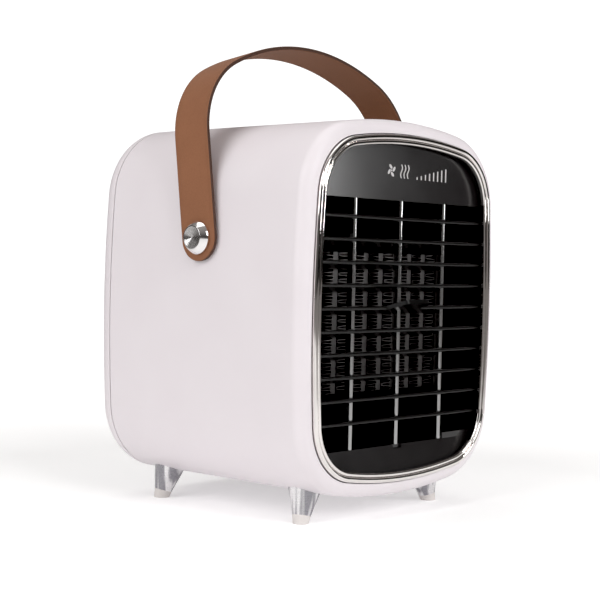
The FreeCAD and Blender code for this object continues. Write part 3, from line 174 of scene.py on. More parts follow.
# %% Pattern helpers
def place(finish, centre=(0, 0, 0), stretch=(1, 1, 1)):
    """Object coordinates, measured from a centre and stretched along the axes."""
    raw = finish.node("ShaderNodeTexCoord", output="Object")
    shift = [-c * s for c, s in zip(centre, stretch)]
    return finish.node("ShaderNodeMapping", None, {"Vector": raw, "Location": shift, "Scale": stretch})


def speckle(finish, size_mm, detail=2.0, roughness=0.5, stretch=(1, 1, 1)):
    """Noise between 0 and 1 whose specks are about size_mm across; a small stretch draws them out."""
    return finish.node("ShaderNodeTexNoise", None, {
        "Vector": place(finish, stretch=stretch), "Scale": 1 / (size_mm * MM),
        "Detail": detail, "Roughness": roughness})


def blend(finish, amount, first, second):
    """A colour between two colours."""
    return finish.node("ShaderNodeMix", {"data_type": "RGBA"}, {0: amount, 6: first, 7: second}, output=2)


def ramp(finish, amount, low, high):
    """Stretches the range low to high onto 0 to 1, clamped."""
    return finish.node("ShaderNodeMapRange", {"clamp": True}, {0: amount, 1: low, 2: high, 3: 0.0, 4: 1.0})


def relief(finish, height, depth_mm):
    """A bump whose full height is depth_mm."""
    return finish.node("ShaderNodeBump", None, {
        "Height": height, "Distance": depth_mm * MM, "Strength": 1.0})


def waves(distance, pitch_mm):
    """A wave between 0 and 1 that repeats every pitch_mm of a distance signal."""
    return (distance * (2 * math.pi / (pitch_mm * MM))).math("SINE") * 0.5 + 0.5


def turned_rings(finish, centre, axis, pitch_mm):
    """Fine lathe rings around an axis: a wave of the distance from it."""
    across = [0 if i == axis else 1 for i in range(3)]
    spot = place(finish, centre, across)
    radius = finish.node("ShaderNodeVectorMath", {"operation": "LENGTH"}, {0: spot}, output="Value")
    return waves(radius, pitch_mm)


print("pattern helpers ready")

# %% [markdown]
# ## The casing's warm white plastic
# The shell and rear cover are one moulded, satin plastic. Satin means that it scatters light, but
# not evenly: a mould's skin has a soft orange peel about a millimetre across. A gentle bump and a
# small change of roughness give that without any pattern that the eye can pick out.

# %% Casing finish
casing = Finish("casing_white", Roughness=0.42, IOR=1.46)
cloud = speckle(casing, 24.0, detail=1.0)
peel = speckle(casing, 1.3, detail=2.0)
grain = speckle(casing, 0.35, detail=1.0)
casing.set(
    Base_Color=blend(casing, cloud, (0.802, 0.748, 0.778, 1), (0.834, 0.785, 0.812, 1)),
    Roughness=cloud * 0.06 + grain * 0.06 + 0.36,
    Normal=relief(casing, peel * 0.8 + grain * 0.2, 0.006))
print("casing white made")

# %% [markdown]
# ## Bright metals
# Plated and polished metals get their look from what they mirror, so they need a clean shape and
# only a trace of texture: faint wiping marks on the ring, fine lathe rings on the rivets and legs.
# The legs also carry brush marks along their length. Their cone faces the floor, which is evenly bright,
# so a mirror finish would look flat, and the brush marks carry painted reflection streaks: light and dark bands in
# the colour in place of mirrored highlights.

# %% Chrome and turned metal
ring = Finish("ring_chrome", Metallic=1.0)
smudge = speckle(ring, 9.0, detail=3.0)
ring.set(
    Base_Color=blend(ring, smudge, (0.78, 0.74, 0.72, 1), (0.86, 0.83, 0.81, 1)),
    Roughness=ramp(ring, smudge, 0.35, 0.8) * 0.05 + 0.03,
    Normal=relief(ring, speckle(ring, 2.5, detail=1.0), 0.0006))

strap_pivot = Vector(joints["strap_swing"]["pos_m"])
rivet = Finish("rivet_chrome", Metallic=1.0)
lathe = turned_rings(rivet, strap_pivot, 0, 0.16)
rivet.set(
    Base_Color=blend(rivet, speckle(rivet, 3.0), (0.80, 0.785, 0.78, 1), (0.90, 0.885, 0.88, 1)),
    Roughness=speckle(rivet, 1.2) * 0.08 + 0.05,
    Normal=relief(rivet, lathe, 0.0022))

legs = Finish("leg_aluminium", Metallic=1.0, Anisotropic=0.5)
height = legs.node("ShaderNodeSeparateXYZ", None, {0: place(legs)}, output="Z")
rings = waves(height, 0.22)
cast = speckle(legs, 1.1, detail=3.0, stretch=(1, 1, 3))
# painted reflection streaks: the brush marks swing the base colour from dark to light, in place of the highlights
# the legs would mirror
brush_and_reflection_streaks = ramp(legs, speckle(legs, 2.3, detail=0.5, stretch=(1, 1, 0.06)), 0.44, 0.64)
legs.set(
    Base_Color=blend(legs, brush_and_reflection_streaks * 0.85 + cast * 0.15, (0.27, 0.265, 0.29, 1), (0.86, 0.85, 0.86, 1)),
    Roughness=cast * 0.10 + 0.22,
    Normal=relief(legs, rings * 0.7 + cast * 0.3, 0.0035))
print("metals made")

# %% [markdown]
# ## Black plastics
# The front frame is satin: its mould was spark-eroded, which leaves a fine even tooth that catches
# light as a soft grey sheen. The louvers are smoother, so their edges show thin highlights. The
# ribs are polished and refract strongly, so their narrow noses glint. The parts further in are
# plain heat-resistant black plastic, set darker still as painted shade for the deep recess, and the
# switch and gland lie between.

# %% Black plastic finishes
def black_plastic(name, tone, rough, tooth_mm, tooth_depth, gloss, ior=1.5):
    """A black that drifts a little in tone and roughness, with a fine moulded tooth.

    The tooth and the drift add 0.075 to the roughness on average, which is taken off again.
    """
    finish = Finish(name, IOR=ior, Specular_IOR_Level=gloss)
    tooth = speckle(finish, tooth_mm, detail=2.0, roughness=0.6)
    drift = speckle(finish, 14.0, detail=2.0)
    dark = tuple(t * 0.86 for t in tone) + (1,)
    light = tuple(t * 1.18 for t in tone) + (1,)
    finish.set(
        Base_Color=blend(finish, drift, dark, light),
        Roughness=tooth * 0.10 + drift * 0.05 + (rough - 0.075),
        Normal=relief(finish, tooth, tooth_depth))


black_plastic("frame_black", (0.0135, 0.0122, 0.0124), 0.22, 0.40, 0.004, 0.50)
black_plastic("rib_black", (0.0060, 0.0056, 0.0056), 0.16, 0.8, 0.001, 1.0, ior=2.6)
black_plastic("louver_black", (0.0050, 0.0046, 0.0046), 0.24, 0.8, 0.002, 0.22)
# inner_plastic: black plastic set darker than real plastic is, as painted shade deep inside the heater
black_plastic("inner_plastic", (0.0024, 0.0022, 0.0022), 0.50, 0.9, 0.012, 0.03)
black_plastic("impeller_plastic", (0.0080, 0.0076, 0.0076), 0.45, 1.0, 0.008, 0.25)
black_plastic("switch_black", (0.0150, 0.0150, 0.0150), 0.28, 0.9, 0.003, 0.5)
black_plastic("gland_black", (0.0160, 0.0155, 0.0155), 0.5, 0.6, 0.010, 0.4)
print(len(finishes), "finishes so far")

# %% [markdown]
# ## The heater core
# The fins are thin aluminium sheet folded to and fro and glued between ceramic strips. Heat and
# handling leave the sheet dull in patches, so both its colour and its roughness wander. The strips
# are pressed ceramic in a grey sleeve, with a fine mottle. Both are set darker than clean metal and
# ceramic, because the core lies deep behind the louvers and should stay in their shade.

# %% Fin, strip and terminal finishes
fins = Finish("fin_aluminium", Metallic=1.0)
patch = speckle(fins, 5.0, detail=4.0, roughness=0.6)
fins.set(
    Base_Color=blend(fins, ramp(fins, patch, 0.3, 0.75), (0.10, 0.093, 0.093, 1), (0.30, 0.285, 0.285, 1)),
    Roughness=patch * 0.25 + 0.28,
    Normal=relief(fins, speckle(fins, 0.7), 0.01))

strips = Finish("heater_ceramic", IOR=1.6, Specular_IOR_Level=0.4)
mottle = speckle(strips, 1.2, detail=4.0)
strips.set(
    Base_Color=blend(strips, mottle, (0.055, 0.050, 0.049, 1), (0.090, 0.083, 0.081, 1)),
    Roughness=mottle * 0.12 + 0.34,
    Normal=relief(strips, mottle, 0.01))

brass = Finish("terminal_brass", Metallic=1.0)
wear = speckle(brass, 1.5, detail=3.0)
brass.set(
    Base_Color=blend(brass, wear, (0.66, 0.50, 0.24, 1), (0.80, 0.66, 0.36, 1)),
    Roughness=wear * 0.2 + 0.18)
print("core finishes made")

# %% [markdown]
# ## Steel, nylon and rubber
# Zinc-plated screws have a cloudy sparkle, a motor can has faint drawing marks along its length, a
# nylon washer is milky, and the rubber tips are matt with a little floor dust worked into them.

# %% Small part finishes
screws = Finish("screw_steel", Metallic=1.0)
spangle = screws.node("ShaderNodeTexVoronoi", None, {
    "Vector": place(screws), "Scale": 1400.0}, output="Color")
screws.set(
    Base_Color=blend(screws, spangle, (0.46, 0.46, 0.47, 1), (0.68, 0.68, 0.67, 1)),
    Roughness=speckle(screws, 0.8) * 0.2 + 0.25)

can = Finish("motor_steel", Metallic=1.0)
drawn = speckle(can, 0.5, detail=3.0, stretch=(1, 0.05, 1))
can.set(
    Base_Color=blend(can, drawn, (0.46, 0.46, 0.465, 1), (0.62, 0.62, 0.62, 1)),
    Roughness=drawn * 0.22 + 0.22, Normal=relief(can, drawn, 0.003))

nylon = Finish("washer_nylon", Roughness=0.45, Subsurface_Weight=0.1)
nylon.set(Base_Color=blend(nylon, speckle(nylon, 2.0), (0.68, 0.67, 0.64, 1), (0.76, 0.75, 0.73, 1)))

rubber = Finish("tip_rubber", IOR=1.4)
dust = speckle(rubber, 1.6, detail=4.0)
rubber.set(
    Base_Color=blend(rubber, dust, (0.70, 0.655, 0.63, 1), (0.80, 0.765, 0.75, 1)),
    Roughness=dust * 0.15 + 0.62, Normal=relief(rubber, speckle(rubber, 0.4), 0.01))
print("small part finishes made")

# %% [markdown]
# ## Leather
# The strap is split leather with a pressed grain: pebbles half a millimetre across, with fine
# wrinkles over them. Its cut edges are sealed with dark paint, and the colour deepens slightly
# towards them. The strap's mesh carries an attribute, edge, that is 1 on the cut edge and falls to 0
# a few millimetres in, so the material can follow the real outline wherever the strap bends. A
# second attribute, back, is 1 on the rough suede side that faces the casing.

# %% Leather finish
leather = Finish("strap_leather", IOR=1.42, Sheen_Weight=0.06, Sheen_Roughness=0.5)
edge = leather.node("ShaderNodeAttribute", {"attribute_name": "edge"}, output="Fac")
back = leather.node("ShaderNodeAttribute", {"attribute_name": "back"}, output="Fac")
pebble = leather.node("ShaderNodeTexVoronoi", {"feature": "SMOOTH_F1"}, {
    "Vector": place(leather), "Scale": 1 / (0.75 * MM), "Smoothness": 0.6}, output="Distance")
wrinkle = speckle(leather, 0.45, detail=4.0, roughness=0.65)
stain = speckle(leather, 11.0, detail=3.0)
tan = blend(leather, stain, (0.268, 0.111, 0.052, 1), (0.322, 0.135, 0.064, 1))
grain_dips = ramp(leather, pebble + wrinkle * 0.5, 0.25, 1.0) * 0.35
tan = blend(leather, grain_dips, tan, (0.218, 0.085, 0.038, 1))
suede = blend(leather, wrinkle, (0.202, 0.086, 0.041, 1), (0.268, 0.118, 0.057, 1))
tan = blend(leather, back, tan, suede)
tan = blend(leather, ramp(leather, edge, 0.05, 0.8) * 0.28, tan, (0.205, 0.078, 0.032, 1))
tan = blend(leather, ramp(leather, edge, 0.93, 0.98), tan, (0.060, 0.024, 0.013, 1))
leather.set(
    Base_Color=tan,
    Roughness=wrinkle * 0.12 + back * 0.18 + 0.50,
    Normal=relief(leather, pebble * 0.6 + wrinkle * 0.4, 0.035))
print("leather made")

# %% [markdown]
# ## Putting the finishes on the CAD nodes
# The record names a material slot for each CAD node. The imported mesh already has a material with
# that name, so it only has to be swapped for the finish of the same name.

# %% Assign finishes to CAD nodes
for name, obj in nodes.items():
    for index, slot in enumerate(obj.material_slots):
        slot_name = slot.material.name.split(".")[0]
        obj.data.materials[index] = finishes[slot_name].material
print("dressed", len(nodes), "nodes with", len(finishes), "finishes")

# %% [markdown]
# ## Making new pieces
# A new piece starts as a bmesh, is shaped with operators, and is then written to an object at the
# origin that rides on a CAD body. One helper does this last step the same way each time.

# %% Piece helper
def make_piece(name, bm, slot_name, body, replaced=(), sharp=40):
    """Writes a bmesh to an object at the origin, gives it its finish and ties it to its body."""
    mesh = bpy.data.meshes.new(name)
    bmesh.ops.recalc_face_normals(bm, faces=bm.faces[:])
    for face in bm.faces:
        face.smooth = True
    for rim in bm.edges:
        if len(rim.link_faces) == 2 and rim.calc_face_angle(0) > math.radians(sharp):
            rim.smooth = False
    bm.to_mesh(mesh)
    bm.free()
    obj = bpy.data.objects.new(name, mesh)
    bpy.context.scene.collection.objects.link(obj)
    mesh.materials.append(finishes[slot_name].material)
    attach(obj, body)
    if replaced:
        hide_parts(*replaced)
    print(name, len(mesh.polygons), "faces")
    return obj


def body_of(node):
    """The moving body, or the casing, that a CAD node belongs to."""
    bodies = frame["record"]["behaviour"]["bodies"]
    return next(body for body, members in bodies.items() if node in members)


print("the strap's left rivet rides on", body_of("strap_rivet_left"))

# %% [markdown]
# ## The leather strap
# A strap is cut flat, its ends rounded, its edges rounded and painted, and only then bent. Modelling
# it in the same order gives the right result at the first try: a flat grid, mapped to a long shape
# with round ends, thickened, its rims bevelled, and last bent along a line of straights and arcs.
# The bend is worked out from the CAD strap's own box and pivot, so the two can't drift apart.

# %% Strap sizes
STRAP_WIDTH = 21.0 * MM
STRAP_THICKNESS = 1.8 * MM
SHOULDER_R = 38.0 * MM
CROWN_R = 116.0 * MM
CROWN_RISE = 92.3 * MM
STRAP_LEAN = math.radians(-7.5)
HOLE_R = 3.2 * MM
HOLE_REACH = 1.6 * HOLE_R
EDGE_ROUND = 0.42 * MM
EDGE_FADE = 3.2 * MM
STEPS_ALONG, STEPS_ACROSS = 304, 22

_, strap_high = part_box("strap")
arm_x = strap_high.x - STRAP_THICKNESS / 2
end_r = STRAP_WIDTH / 2
crown_z = CROWN_RISE - CROWN_R
shoulder_x = arm_x - SHOULDER_R
shoulder_z = crown_z + math.sqrt((CROWN_R - SHOULDER_R) ** 2 - shoulder_x ** 2)
turn = math.atan2(shoulder_z - crown_z, shoulder_x)
arm_length = end_r + shoulder_z
shoulder_length = SHOULDER_R * turn
half_length = arm_length + shoulder_length + CROWN_R * (math.pi / 2 - turn)
print("strap length", round(2 * half_length / MM, 1), "mm")

# %% Bend one point of the flat strap
def strap_line(along):
    """Place and outward direction in the strap's side view, measured from the pivot, left half."""
    if along < arm_length:
        return (-arm_x, along - end_r), (-1.0, 0.0)
    if along < arm_length + shoulder_length:
        angle = math.pi - (along - arm_length) / SHOULDER_R
        out = (math.cos(angle), math.sin(angle))
        return (SHOULDER_R * out[0] - shoulder_x, SHOULDER_R * out[1] + shoulder_z), out
    angle = math.pi - turn - (along - arm_length - shoulder_length) / CROWN_R
    out = (math.cos(angle), math.sin(angle))
    return (CROWN_R * out[0], CROWN_R * out[1] + crown_z), out


def bend(point):
    """From flat (along, across, outward) to the finished arch, leaning back about its pivot."""
    side = 1 if point.x <= half_length else -1
    along = point.x if side == 1 else 2 * half_length - point.x
    (x, z), (out_x, out_z) = strap_line(along)
    x, z = (x + out_x * point.z) * side, z + out_z * point.z
    leant = Matrix.Rotation(STRAP_LEAN, 3, "X") @ Vector((x, point.y, z))
    return leant + Vector((0, strap_pivot.y, strap_pivot.z))


print("crown of the bent strap", [round(v, 4) for v in bend(Vector((half_length, 0, 0)))])

# %% Cut and thicken the strap
bm = bmesh.new()
bmesh.ops.create_grid(bm, x_segments=STEPS_ALONG, y_segments=STEPS_ACROSS, size=1)
for vert in bm.verts:
    along, across = (vert.co.x + 1) * half_length, vert.co.y
    inset = min(along, 2 * half_length - along)
    if inset < end_r:
        reach = 1 - inset / end_r
        inset = end_r - end_r * reach * math.sqrt(1 - across ** 2 / 2)
        across *= math.sqrt(1 - reach ** 2 / 2)
        along = inset if along < half_length else 2 * half_length - inset
    vert.co = Vector((along, across * end_r, 0))

hole_centres = (Vector((end_r, 0, 0)), Vector((2 * half_length - end_r, 0, 0)))
punched = [face for face in bm.faces
           if any((face.calc_center_median() - c).length < HOLE_R for c in hole_centres)]
bmesh.ops.delete(bm, geom=punched, context="FACES")
for centre in hole_centres:
    for vert in bm.verts:
        gap = vert.co - centre
        if vert.is_boundary and gap.length < HOLE_REACH:
            vert.co = centre + gap.normalized() * HOLE_R

bmesh.ops.solidify(bm, geom=bm.faces[:], thickness=STRAP_THICKNESS)
middle = (max(v.co.z for v in bm.verts) + min(v.co.z for v in bm.verts)) / 2
bmesh.ops.translate(bm, verts=bm.verts[:], vec=(0, 0, -middle))
rims = [e for e in bm.edges if len(e.link_faces) == 2 and e.calc_face_angle(0) > math.radians(60)]
bmesh.ops.bevel(bm, geom=rims, offset=EDGE_ROUND, offset_type="OFFSET", segments=3, profile=0.5,
                affect="EDGES", material=-1)
print("flat strap", len(bm.faces), "faces")

# %% Mark the strap's edge and back, and bend it
edge_layer = bm.verts.layers.float.new("edge")
back_layer = bm.verts.layers.float.new("back")
for vert in bm.verts:
    inset = min(vert.co.x, 2 * half_length - vert.co.x)
    past = max(end_r - inset, 0)
    depth = end_r - math.hypot(past, vert.co.y)
    vert[edge_layer] = max(0.0, 1 - max(depth, 0) / EDGE_FADE)
    vert[back_layer] = 1.0 if vert.co.z < -STRAP_THICKNESS * 0.45 else 0.0
for vert in bm.verts:
    vert.co = bend(vert.co)
make_piece("leather_strap", bm, "strap_leather", "strap", ["strap"], sharp=60)

# %% [markdown]
# ## The rivet heads
# Each strap end is held by a bright turned rivet: a wide chamfer, a crisp rim and a shallow dished
# face with fine turning grooves. The grooves are real, because they stretch each highlight into the
# wedges that turned metal has, and a bump alone would leave a smooth outline. A turned part is what
# Spin is for. Half of its outline is drawn as edges, and Spin sweeps it once round the pivot's axis.
# The first and last ring are merged, and the tip closes by itself because its vertices lie on the
# axis.

# %% Rivet sizes and outline
FACE_R, DISH_DEPTH = 4.9 * MM, 0.5 * MM
GROOVE_PITCH, GROOVE_DEPTH = 0.35 * MM, 0.016 * MM
FACE_POINTS = 84
RIM_R = 5.35 * MM
CHAMFER_R, CHAMFER_DROP = 7.2 * MM, 2.4 * MM
HEAD_R, HEAD_DROP, HEAD_THICKNESS = 7.5 * MM, 2.9 * MM, 3.9 * MM
SHANK_R = 3.0 * MM


def rivet_outline(tip, inner):
    """Half of the outline as (radius, distance from the middle), from the face's centre inwards."""
    points = []
    for k in range(FACE_POINTS + 1):
        radius = FACE_R * k / FACE_POINTS
        groove = GROOVE_DEPTH * (1 + math.sin(2 * math.pi * radius / GROOVE_PITCH))
        points.append((radius, tip - DISH_DEPTH * (1 - radius / FACE_R) - groove))
    seat = tip - HEAD_THICKNESS
    return points + [(RIM_R, tip), (CHAMFER_R, tip - CHAMFER_DROP), (HEAD_R, tip - HEAD_DROP),
                     (HEAD_R, seat), (SHANK_R, seat), (SHANK_R, inner), (0, inner)]


print("rivet face", round(FACE_R / GROOVE_PITCH), "grooves")


# %% Spin the rivet heads
def spin_outline(outline, centre, axis, steps=96):
    """Sweeps (radius, distance along the axis) points once round a level axis through centre."""
    bm = bmesh.new()
    upward = Vector((0, 0, 1))
    verts = [bm.verts.new(centre + axis * along + upward * radius) for radius, along in outline]
    edges = [bm.edges.new(pair) for pair in zip(verts, verts[1:])]
    bmesh.ops.spin(bm, geom=verts + edges, cent=centre, axis=axis, angle=2 * math.pi,
                   steps=steps, use_merge=True)
    bmesh.ops.remove_doubles(bm, verts=bm.verts[:], dist=1e-6)
    return bm


def soften(bm, offset, segments, above):
    """Rounds every edge that turns by more than the angle above, as a polisher would."""
    crisp = [e for e in bm.edges
             if len(e.link_faces) == 2 and e.calc_face_angle(0) > math.radians(above)]
    bmesh.ops.bevel(bm, geom=crisp, offset=offset, offset_type="OFFSET", segments=segments,
                    profile=0.5, affect="EDGES", material=-1)


for side, node in ((-1, "strap_rivet_left"), (1, "strap_rivet_right")):
    low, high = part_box(node)
    tip = abs(low.x if side < 0 else high.x)
    inner = abs(high.x if side < 0 else low.x)
    centre = Vector((0, strap_pivot.y, strap_pivot.z))
    bm = spin_outline(rivet_outline(tip, inner), centre, Vector((side, 0, 0)))
    soften(bm, 0.08 * MM, segments=2, above=35)
    make_piece(node + "_turned", bm, "rivet_chrome", body_of(node), [node], sharp=30)

# %% [markdown]
# ## The folded fins
# Each fin column is one strip of foil, folded to and fro. A grid with many rows is moved onto a
# smooth wave: the rows climb the column while they swing from side to side, with flattened bends
# where the foil meets the ceramic. Solidify then gives the foil its thickness. The waves of
# neighbouring columns are made slightly uneven, as pressed foil is.

# %% Fin sizes
COLUMNS = 8
COLUMN_WIDTH = 7.5 * MM
FOLDS = 21
ROWS = FOLDS * 16
FOIL = 0.20 * MM
FLATNESS = 2.2
LOOP_LIFT = 0.21
WANDER, WANDER_RATE, WANDER_SHIFT = 0.35, 19, 2.1
UNEVENNESS, UNEVEN_RATE, UNEVEN_SHIFT = 0.04, 47, 1.3

core_low, core_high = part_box("ptc_fins")
core_width, core_depth, core_height = (core_high[i] - core_low[i] for i in range(3))
column_pitch = (core_width - COLUMN_WIDTH) / (COLUMNS - 1)
print("column pitch", round(column_pitch / MM, 2), "mm")
print("fold pitch", round(core_height / FOLDS / MM, 2), "mm")

# %% Fold the fins
bm = bmesh.new()
for column in range(COLUMNS):
    made = bmesh.ops.create_grid(bm, x_segments=ROWS, y_segments=2, size=1)["verts"]
    middle_x = core_low.x + COLUMN_WIDTH / 2 + column * column_pitch
    for vert in made:
        climb = (vert.co.x + 1) / 2
        wander = WANDER * math.sin(climb * WANDER_RATE + column * WANDER_SHIFT)
        phase = climb * FOLDS * 2 * math.pi + wander
        swing = math.tanh(FLATNESS * math.sin(phase)) / math.tanh(FLATNESS)
        uneven = UNEVENNESS * math.sin(climb * UNEVEN_RATE + column * UNEVEN_SHIFT)
        x = middle_x + swing * (1 - abs(uneven)) * (COLUMN_WIDTH / 2 - FOIL)
        lift = LOOP_LIFT * math.sin(2 * phase) * core_height / (FOLDS * 2 * math.pi)
        z = core_low.z + FOIL + climb * (core_height - 2 * FOIL) - lift
        y = core_low.y + (vert.co.y + 1) / 2 * core_depth
        vert.co = Vector((x, y, min(max(z, core_low.z + FOIL), core_high.z - FOIL)))
bmesh.ops.solidify(bm, geom=bm.faces[:], thickness=FOIL)
make_piece("folded_fins", bm, "fin_aluminium", body_of("ptc_fins"), ["ptc_fins"], sharp=50)

# %% [markdown]
# ## Printed marks on the top panel
# Pad-printed marks are ink a few hundredths of a millimetre thick. Thin raised shapes are a good
# way to show them, because they need no image and stay sharp from any distance: a small fan, three
# rising heat waves, and eight bars that grow from less to more. The marks are only symbols, with no
# words. The strokes are drawn flat, turned to face one way and only then thickened, because strokes
# that face different ways would be thickened to different sides.

# %% Ink finish and mark helpers
ink = Finish("mark_ink", Roughness=0.5)
ink.set(Base_Color=blend(ink, speckle(ink, 0.5), (0.50, 0.48, 0.48, 1), (0.60, 0.585, 0.585, 1)))
INK = 0.05 * MM


def ribbon(bm, start, end, width, wave=0.0, rows=24):
    """A flat stroke from start to end in x and z, swaying once to each side by wave."""
    made = bmesh.ops.create_grid(bm, x_segments=rows, y_segments=1, size=1)["verts"]
    run = end - start
    side = Vector((-run.y, run.x)).normalized()
    for vert in made:
        along = (vert.co.x + 1) / 2
        sway = wave * math.sin(along * 2 * math.pi)
        spot = start + run * along + side * (sway + vert.co.y * width / 2)
        vert.co = Vector((spot.x, 0, spot.y))


def disc(bm, centre, radius_x, radius_z, angle=0.0):
    """A flat filled oval in the x and z plane, turned by angle."""
    made = bmesh.ops.create_circle(bm, cap_ends=True, segments=32, radius=1)["verts"]
    for vert in made:
        x, z = vert.co.x * radius_x, vert.co.y * radius_z
        vert.co = Vector((centre.x + x * math.cos(angle) - z * math.sin(angle), 0,
                          centre.y + x * math.sin(angle) + z * math.cos(angle)))


def thicken(bm, outward):
    """Turns every stroke to face outward along Y, 1 or -1, and gives it the ink's thickness."""
    bm.normal_update()
    wrong = [face for face in bm.faces if face.normal.y * outward < 0]
    bmesh.ops.reverse_faces(bm, faces=wrong)
    bmesh.ops.solidify(bm, geom=bm.faces[:], thickness=INK)


def make_marks(name, bm, slot_name, body):
    """Makes the marks one piece, in the slot of the part they are printed on, and inks it."""
    marks = make_piece(name, bm, slot_name, body)
    marks.data.materials[0] = ink.material


print("ink", round(INK / MM, 3), "mm thick")

# %% Mark sizes
PANEL_Y = -61.6 * MM
MARK_Z, MARK_HALF = 158.0 * MM, 3.1 * MM
FAN_X, FAN_HUB_R = -9.2 * MM, 0.45 * MM
PETALS, PETAL_OUT = 4, 1.85 * MM
PETAL_LONG, PETAL_WIDE, PETAL_TWIST = 1.35 * MM, 0.72 * MM, 0.55
WAVES, WAVE_X, WAVE_PITCH = 3, -1.9, 2.5
WAVE_WIDTH, WAVE_SWAY = 0.75 * MM, 0.62 * MM
BARS, BAR_X, BAR_PITCH = 8, 10.0, 3.2
BAR_WIDTH, BAR_FIRST, BAR_RISE = 0.85 * MM, 1.2, 0.71
_, frame_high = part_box("front_frame")
print("marks", round((frame_high.z - MARK_Z) / MM, 1), "mm below the frame's top")

# %% Print the panel marks
bm = bmesh.new()
foot_z = MARK_Z - MARK_HALF
fan = Vector((FAN_X, MARK_Z))
for k in range(PETALS):
    angle = math.radians(20 + 360 / PETALS * k)
    petal = fan + Vector((math.cos(angle), math.sin(angle))) * PETAL_OUT
    disc(bm, petal, PETAL_LONG, PETAL_WIDE, angle + PETAL_TWIST)
disc(bm, fan, FAN_HUB_R, FAN_HUB_R)
for k in range(WAVES):
    x = (WAVE_X + WAVE_PITCH * k) * MM
    ribbon(bm, Vector((x, foot_z)), Vector((x, MARK_Z + MARK_HALF)), WAVE_WIDTH, WAVE_SWAY)
for k in range(BARS):
    x = (BAR_X + BAR_PITCH * k) * MM
    ribbon(bm, Vector((x, foot_z)), Vector((x, foot_z + (BAR_FIRST + BAR_RISE * k) * MM)), BAR_WIDTH, rows=2)
thicken(bm, -1)
bmesh.ops.translate(bm, verts=bm.verts[:], vec=(0, PANEL_Y - INK - min(v.co.y for v in bm.verts), 0))
make_marks("panel_marks", bm, "frame_black", body_of("front_frame"))

# %% [markdown]
# ## Printed marks on the rocker key
# The switch has three positions: one bar for fan only, level for off, and two bars for heat. The
# marks are ink on the key's two sloping halves, so they are laid flat, turned to the slope, and
# ride on the key when it tilts.

# %% Print the rocker marks
KEY_DIP = 2.0 * MM
MARK_FROM_MIDDLE = 3.9 * MM
STROKE_HALF, STROKE_WIDTH, STROKE_OUT = 1.7 * MM, 0.6 * MM, 0.9 * MM

key_low, key_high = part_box("rocker_key")
key_middle_z = (key_low.z + key_high.z) / 2
half_key = (key_high.z - key_low.z) / 2
slope = math.atan2(KEY_DIP, half_key)
surface_y = key_high.y - KEY_DIP + KEY_DIP * MARK_FROM_MIDDLE / half_key
bm = bmesh.new()
for end, offsets in ((1, (0.0,)), (-1, (-STROKE_OUT, STROKE_OUT))):
    strokes = bmesh.new()
    for x in offsets:
        ribbon(strokes, Vector((x, -STROKE_HALF)), Vector((x, STROKE_HALF)), STROKE_WIDTH, rows=2)
    thicken(strokes, 1)
    lowest = min(v.co.y for v in strokes.verts)
    bmesh.ops.translate(strokes, verts=strokes.verts[:], vec=(0, -lowest, 0))
    bmesh.ops.rotate(strokes, verts=strokes.verts[:], cent=(0, 0, 0),
                     matrix=Matrix.Rotation(end * slope, 3, "X"))
    bmesh.ops.translate(strokes, verts=strokes.verts[:],
                        vec=(0, surface_y, key_middle_z + end * MARK_FROM_MIDDLE))
    flat = bpy.data.meshes.new("strokes")
    strokes.to_mesh(flat)
    strokes.free()
    bm.from_mesh(flat)
    bpy.data.meshes.remove(flat)
make_marks("rocker_marks", bm, "switch_black", "rocker_key")

# %% [markdown]
# ## The stage
# The heater stands on a plain pale floor under soft studio light. A large softbox on its left makes
# the long streaks on the chrome, one at the front left fills the casing's face, and a wide one above
# opens the shadows. A small one at the front right gives the black panel its sheen: it has to be
# small, because everything glossy and black mirrors its surroundings. For the same reason the world
# is nearly dark as a light, a little brighter on the left and above. The camera sees it as white.
# The floor glows faintly, more with distance, so that it fades into that white. The streaks on the
# legs are painted reflections in their colour.

# %% Floor
pale = Finish("floor_pale", Roughness=0.9, Specular_IOR_Level=0.1, Emission_Strength=1.0)
away = pale.node("ShaderNodeVectorMath", {"operation": "LENGTH"}, {0: place(pale)}, output="Value")
seen_directly = pale.node("ShaderNodeLightPath", output="Is Camera Ray")
haze = blend(pale, ramp(pale, away, 0.20, 0.7), (0.33, 0.33, 0.33, 1), (1, 1, 1, 1))
glow = blend(pale, ramp(pale, away, 0.20, 0.45), (0.20, 0.20, 0.20, 1), (0.01, 0.01, 0.01, 1))
cloudy = speckle(pale, 300.0)
pale.set(
    Base_Color=blend(pale, cloudy, (0.885, 0.885, 0.885, 1), (0.905, 0.905, 0.905, 1)),
    Emission_Color=blend(pale, seen_directly, glow, haze))
bm = bmesh.new()
bmesh.ops.create_grid(bm, x_segments=8, y_segments=8, size=6.0)
floor_mesh = bpy.data.meshes.new("floor")
bm.to_mesh(floor_mesh)
bm.free()
floor = bpy.data.objects.new("floor", floor_mesh)
bpy.context.scene.collection.objects.link(floor)
floor_mesh.materials.append(pale.material)
print("floor laid")


# %% Softboxes
AIM = Vector((0, 0, 0.1))


def softbox(name, spot, size, watts):
    """Hangs a rectangular light at a spot, in metres, aimed at the heater's middle."""
    light = bpy.data.lights.new(name, "AREA")
    light.shape = "RECTANGLE"
    light.size, light.size_y = size
    light.energy = watts
    obj = bpy.data.objects.new(name, light)
    bpy.context.scene.collection.objects.link(obj)
    obj.location = spot
    obj.rotation_euler = (AIM - Vector(spot)).to_track_quat("-Z", "Y").to_euler()
    print(name, watts, "W")


softbox("key_left", (-1.0, 0.12, 0.60), (0.80, 0.70), 5.4)
softbox("accent_front_right", (0.300, -0.46, 0.185), (0.10, 0.08), 0.52)
softbox("fill_front_left", (-0.22, -1.0, 0.62), (0.5, 0.5), 5.4)
softbox("top", (0.05, 0.05, 1.20), (0.9, 0.9), 3.8)

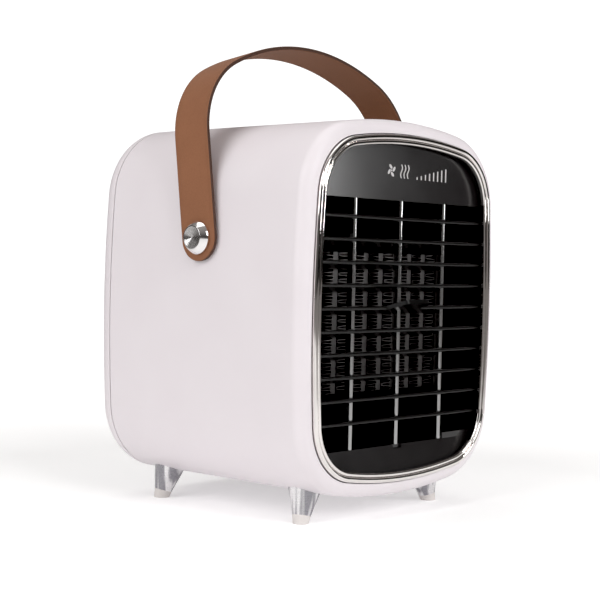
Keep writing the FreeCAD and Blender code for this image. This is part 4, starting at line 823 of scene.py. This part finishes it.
# %% World
world = bpy.data.worlds.new("studio")
bpy.context.scene.world = world
world.use_nodes = True
sky = Graph(world.node_tree)
way = sky.node("ShaderNodeTexCoord", output="Generated")
sideways = sky.node("ShaderNodeSeparateXYZ", None, {0: way}, output="X")
upward = sky.node("ShaderNodeSeparateXYZ", None, {0: way}, output="Z")
from_left = sky.node("ShaderNodeMapRange", {"interpolation_type": "SMOOTHSTEP"}, {
    0: sideways, 1: 0.25, 2: -0.95, 3: 0.012, 4: 0.10})
from_above = sky.node("ShaderNodeMapRange", None, {0: upward, 1: 0.20, 2: 1.0, 3: 0.0, 4: 0.30})
lit = sky.node("ShaderNodeBackground", None, {
    "Color": (1.0, 0.94, 0.90, 1), "Strength": from_left + from_above})
seen = sky.node("ShaderNodeBackground", None, {"Color": (1, 1, 1, 1), "Strength": 1.15})
camera_ray = sky.node("ShaderNodeLightPath", output="Is Camera Ray")
sky.show("ShaderNodeOutputWorld", sky.node("ShaderNodeMixShader", None, {0: camera_ray, 1: lit, 2: seen}))
print("world lit")

# %% View
BLACK_LEVEL = 0.006
view = bpy.context.scene.view_settings
view.view_transform = "Standard"
view.use_curve_mapping = True
view.curve_mapping.black_level = (BLACK_LEVEL, BLACK_LEVEL, BLACK_LEVEL)
view.curve_mapping.update()
print("view", view.view_transform, "with black level", BLACK_LEVEL)

# %% [markdown]
# ## The camera
# A product shot of a small object is taken with a long lens from close to its own height, looking
# slightly down. The place and the three angles below put the heater in the frame as a buyer would
# see it, from the front left.

# %% Camera
SENSOR_MM, LENS_MM = 36.0, 83.07
CAMERA_SPOT = (-0.50435, -0.44903, 0.11577)
YAW, PITCH, ROLL = 0.8431285, -0.0276917, 0.0235850

camera_data = bpy.data.cameras.new("camera")
camera_data.sensor_width = SENSOR_MM
camera_data.lens = LENS_MM
camera_data.clip_start = 0.01
camera_data.clip_end = 50.0
camera = bpy.data.objects.new("camera", camera_data)
bpy.context.scene.collection.objects.link(camera)
camera.location = CAMERA_SPOT
look = Vector((math.sin(YAW) * math.cos(PITCH), math.cos(YAW) * math.cos(PITCH), math.sin(PITCH)))
camera.rotation_mode = "QUATERNION"
camera.rotation_quaternion = look.to_track_quat("-Z", "Y") @ Quaternion((0, 0, 1), ROLL)
bpy.context.scene.camera = camera
print("camera", round(Vector(CAMERA_SPOT).length, 3), "m from the heater's foot")
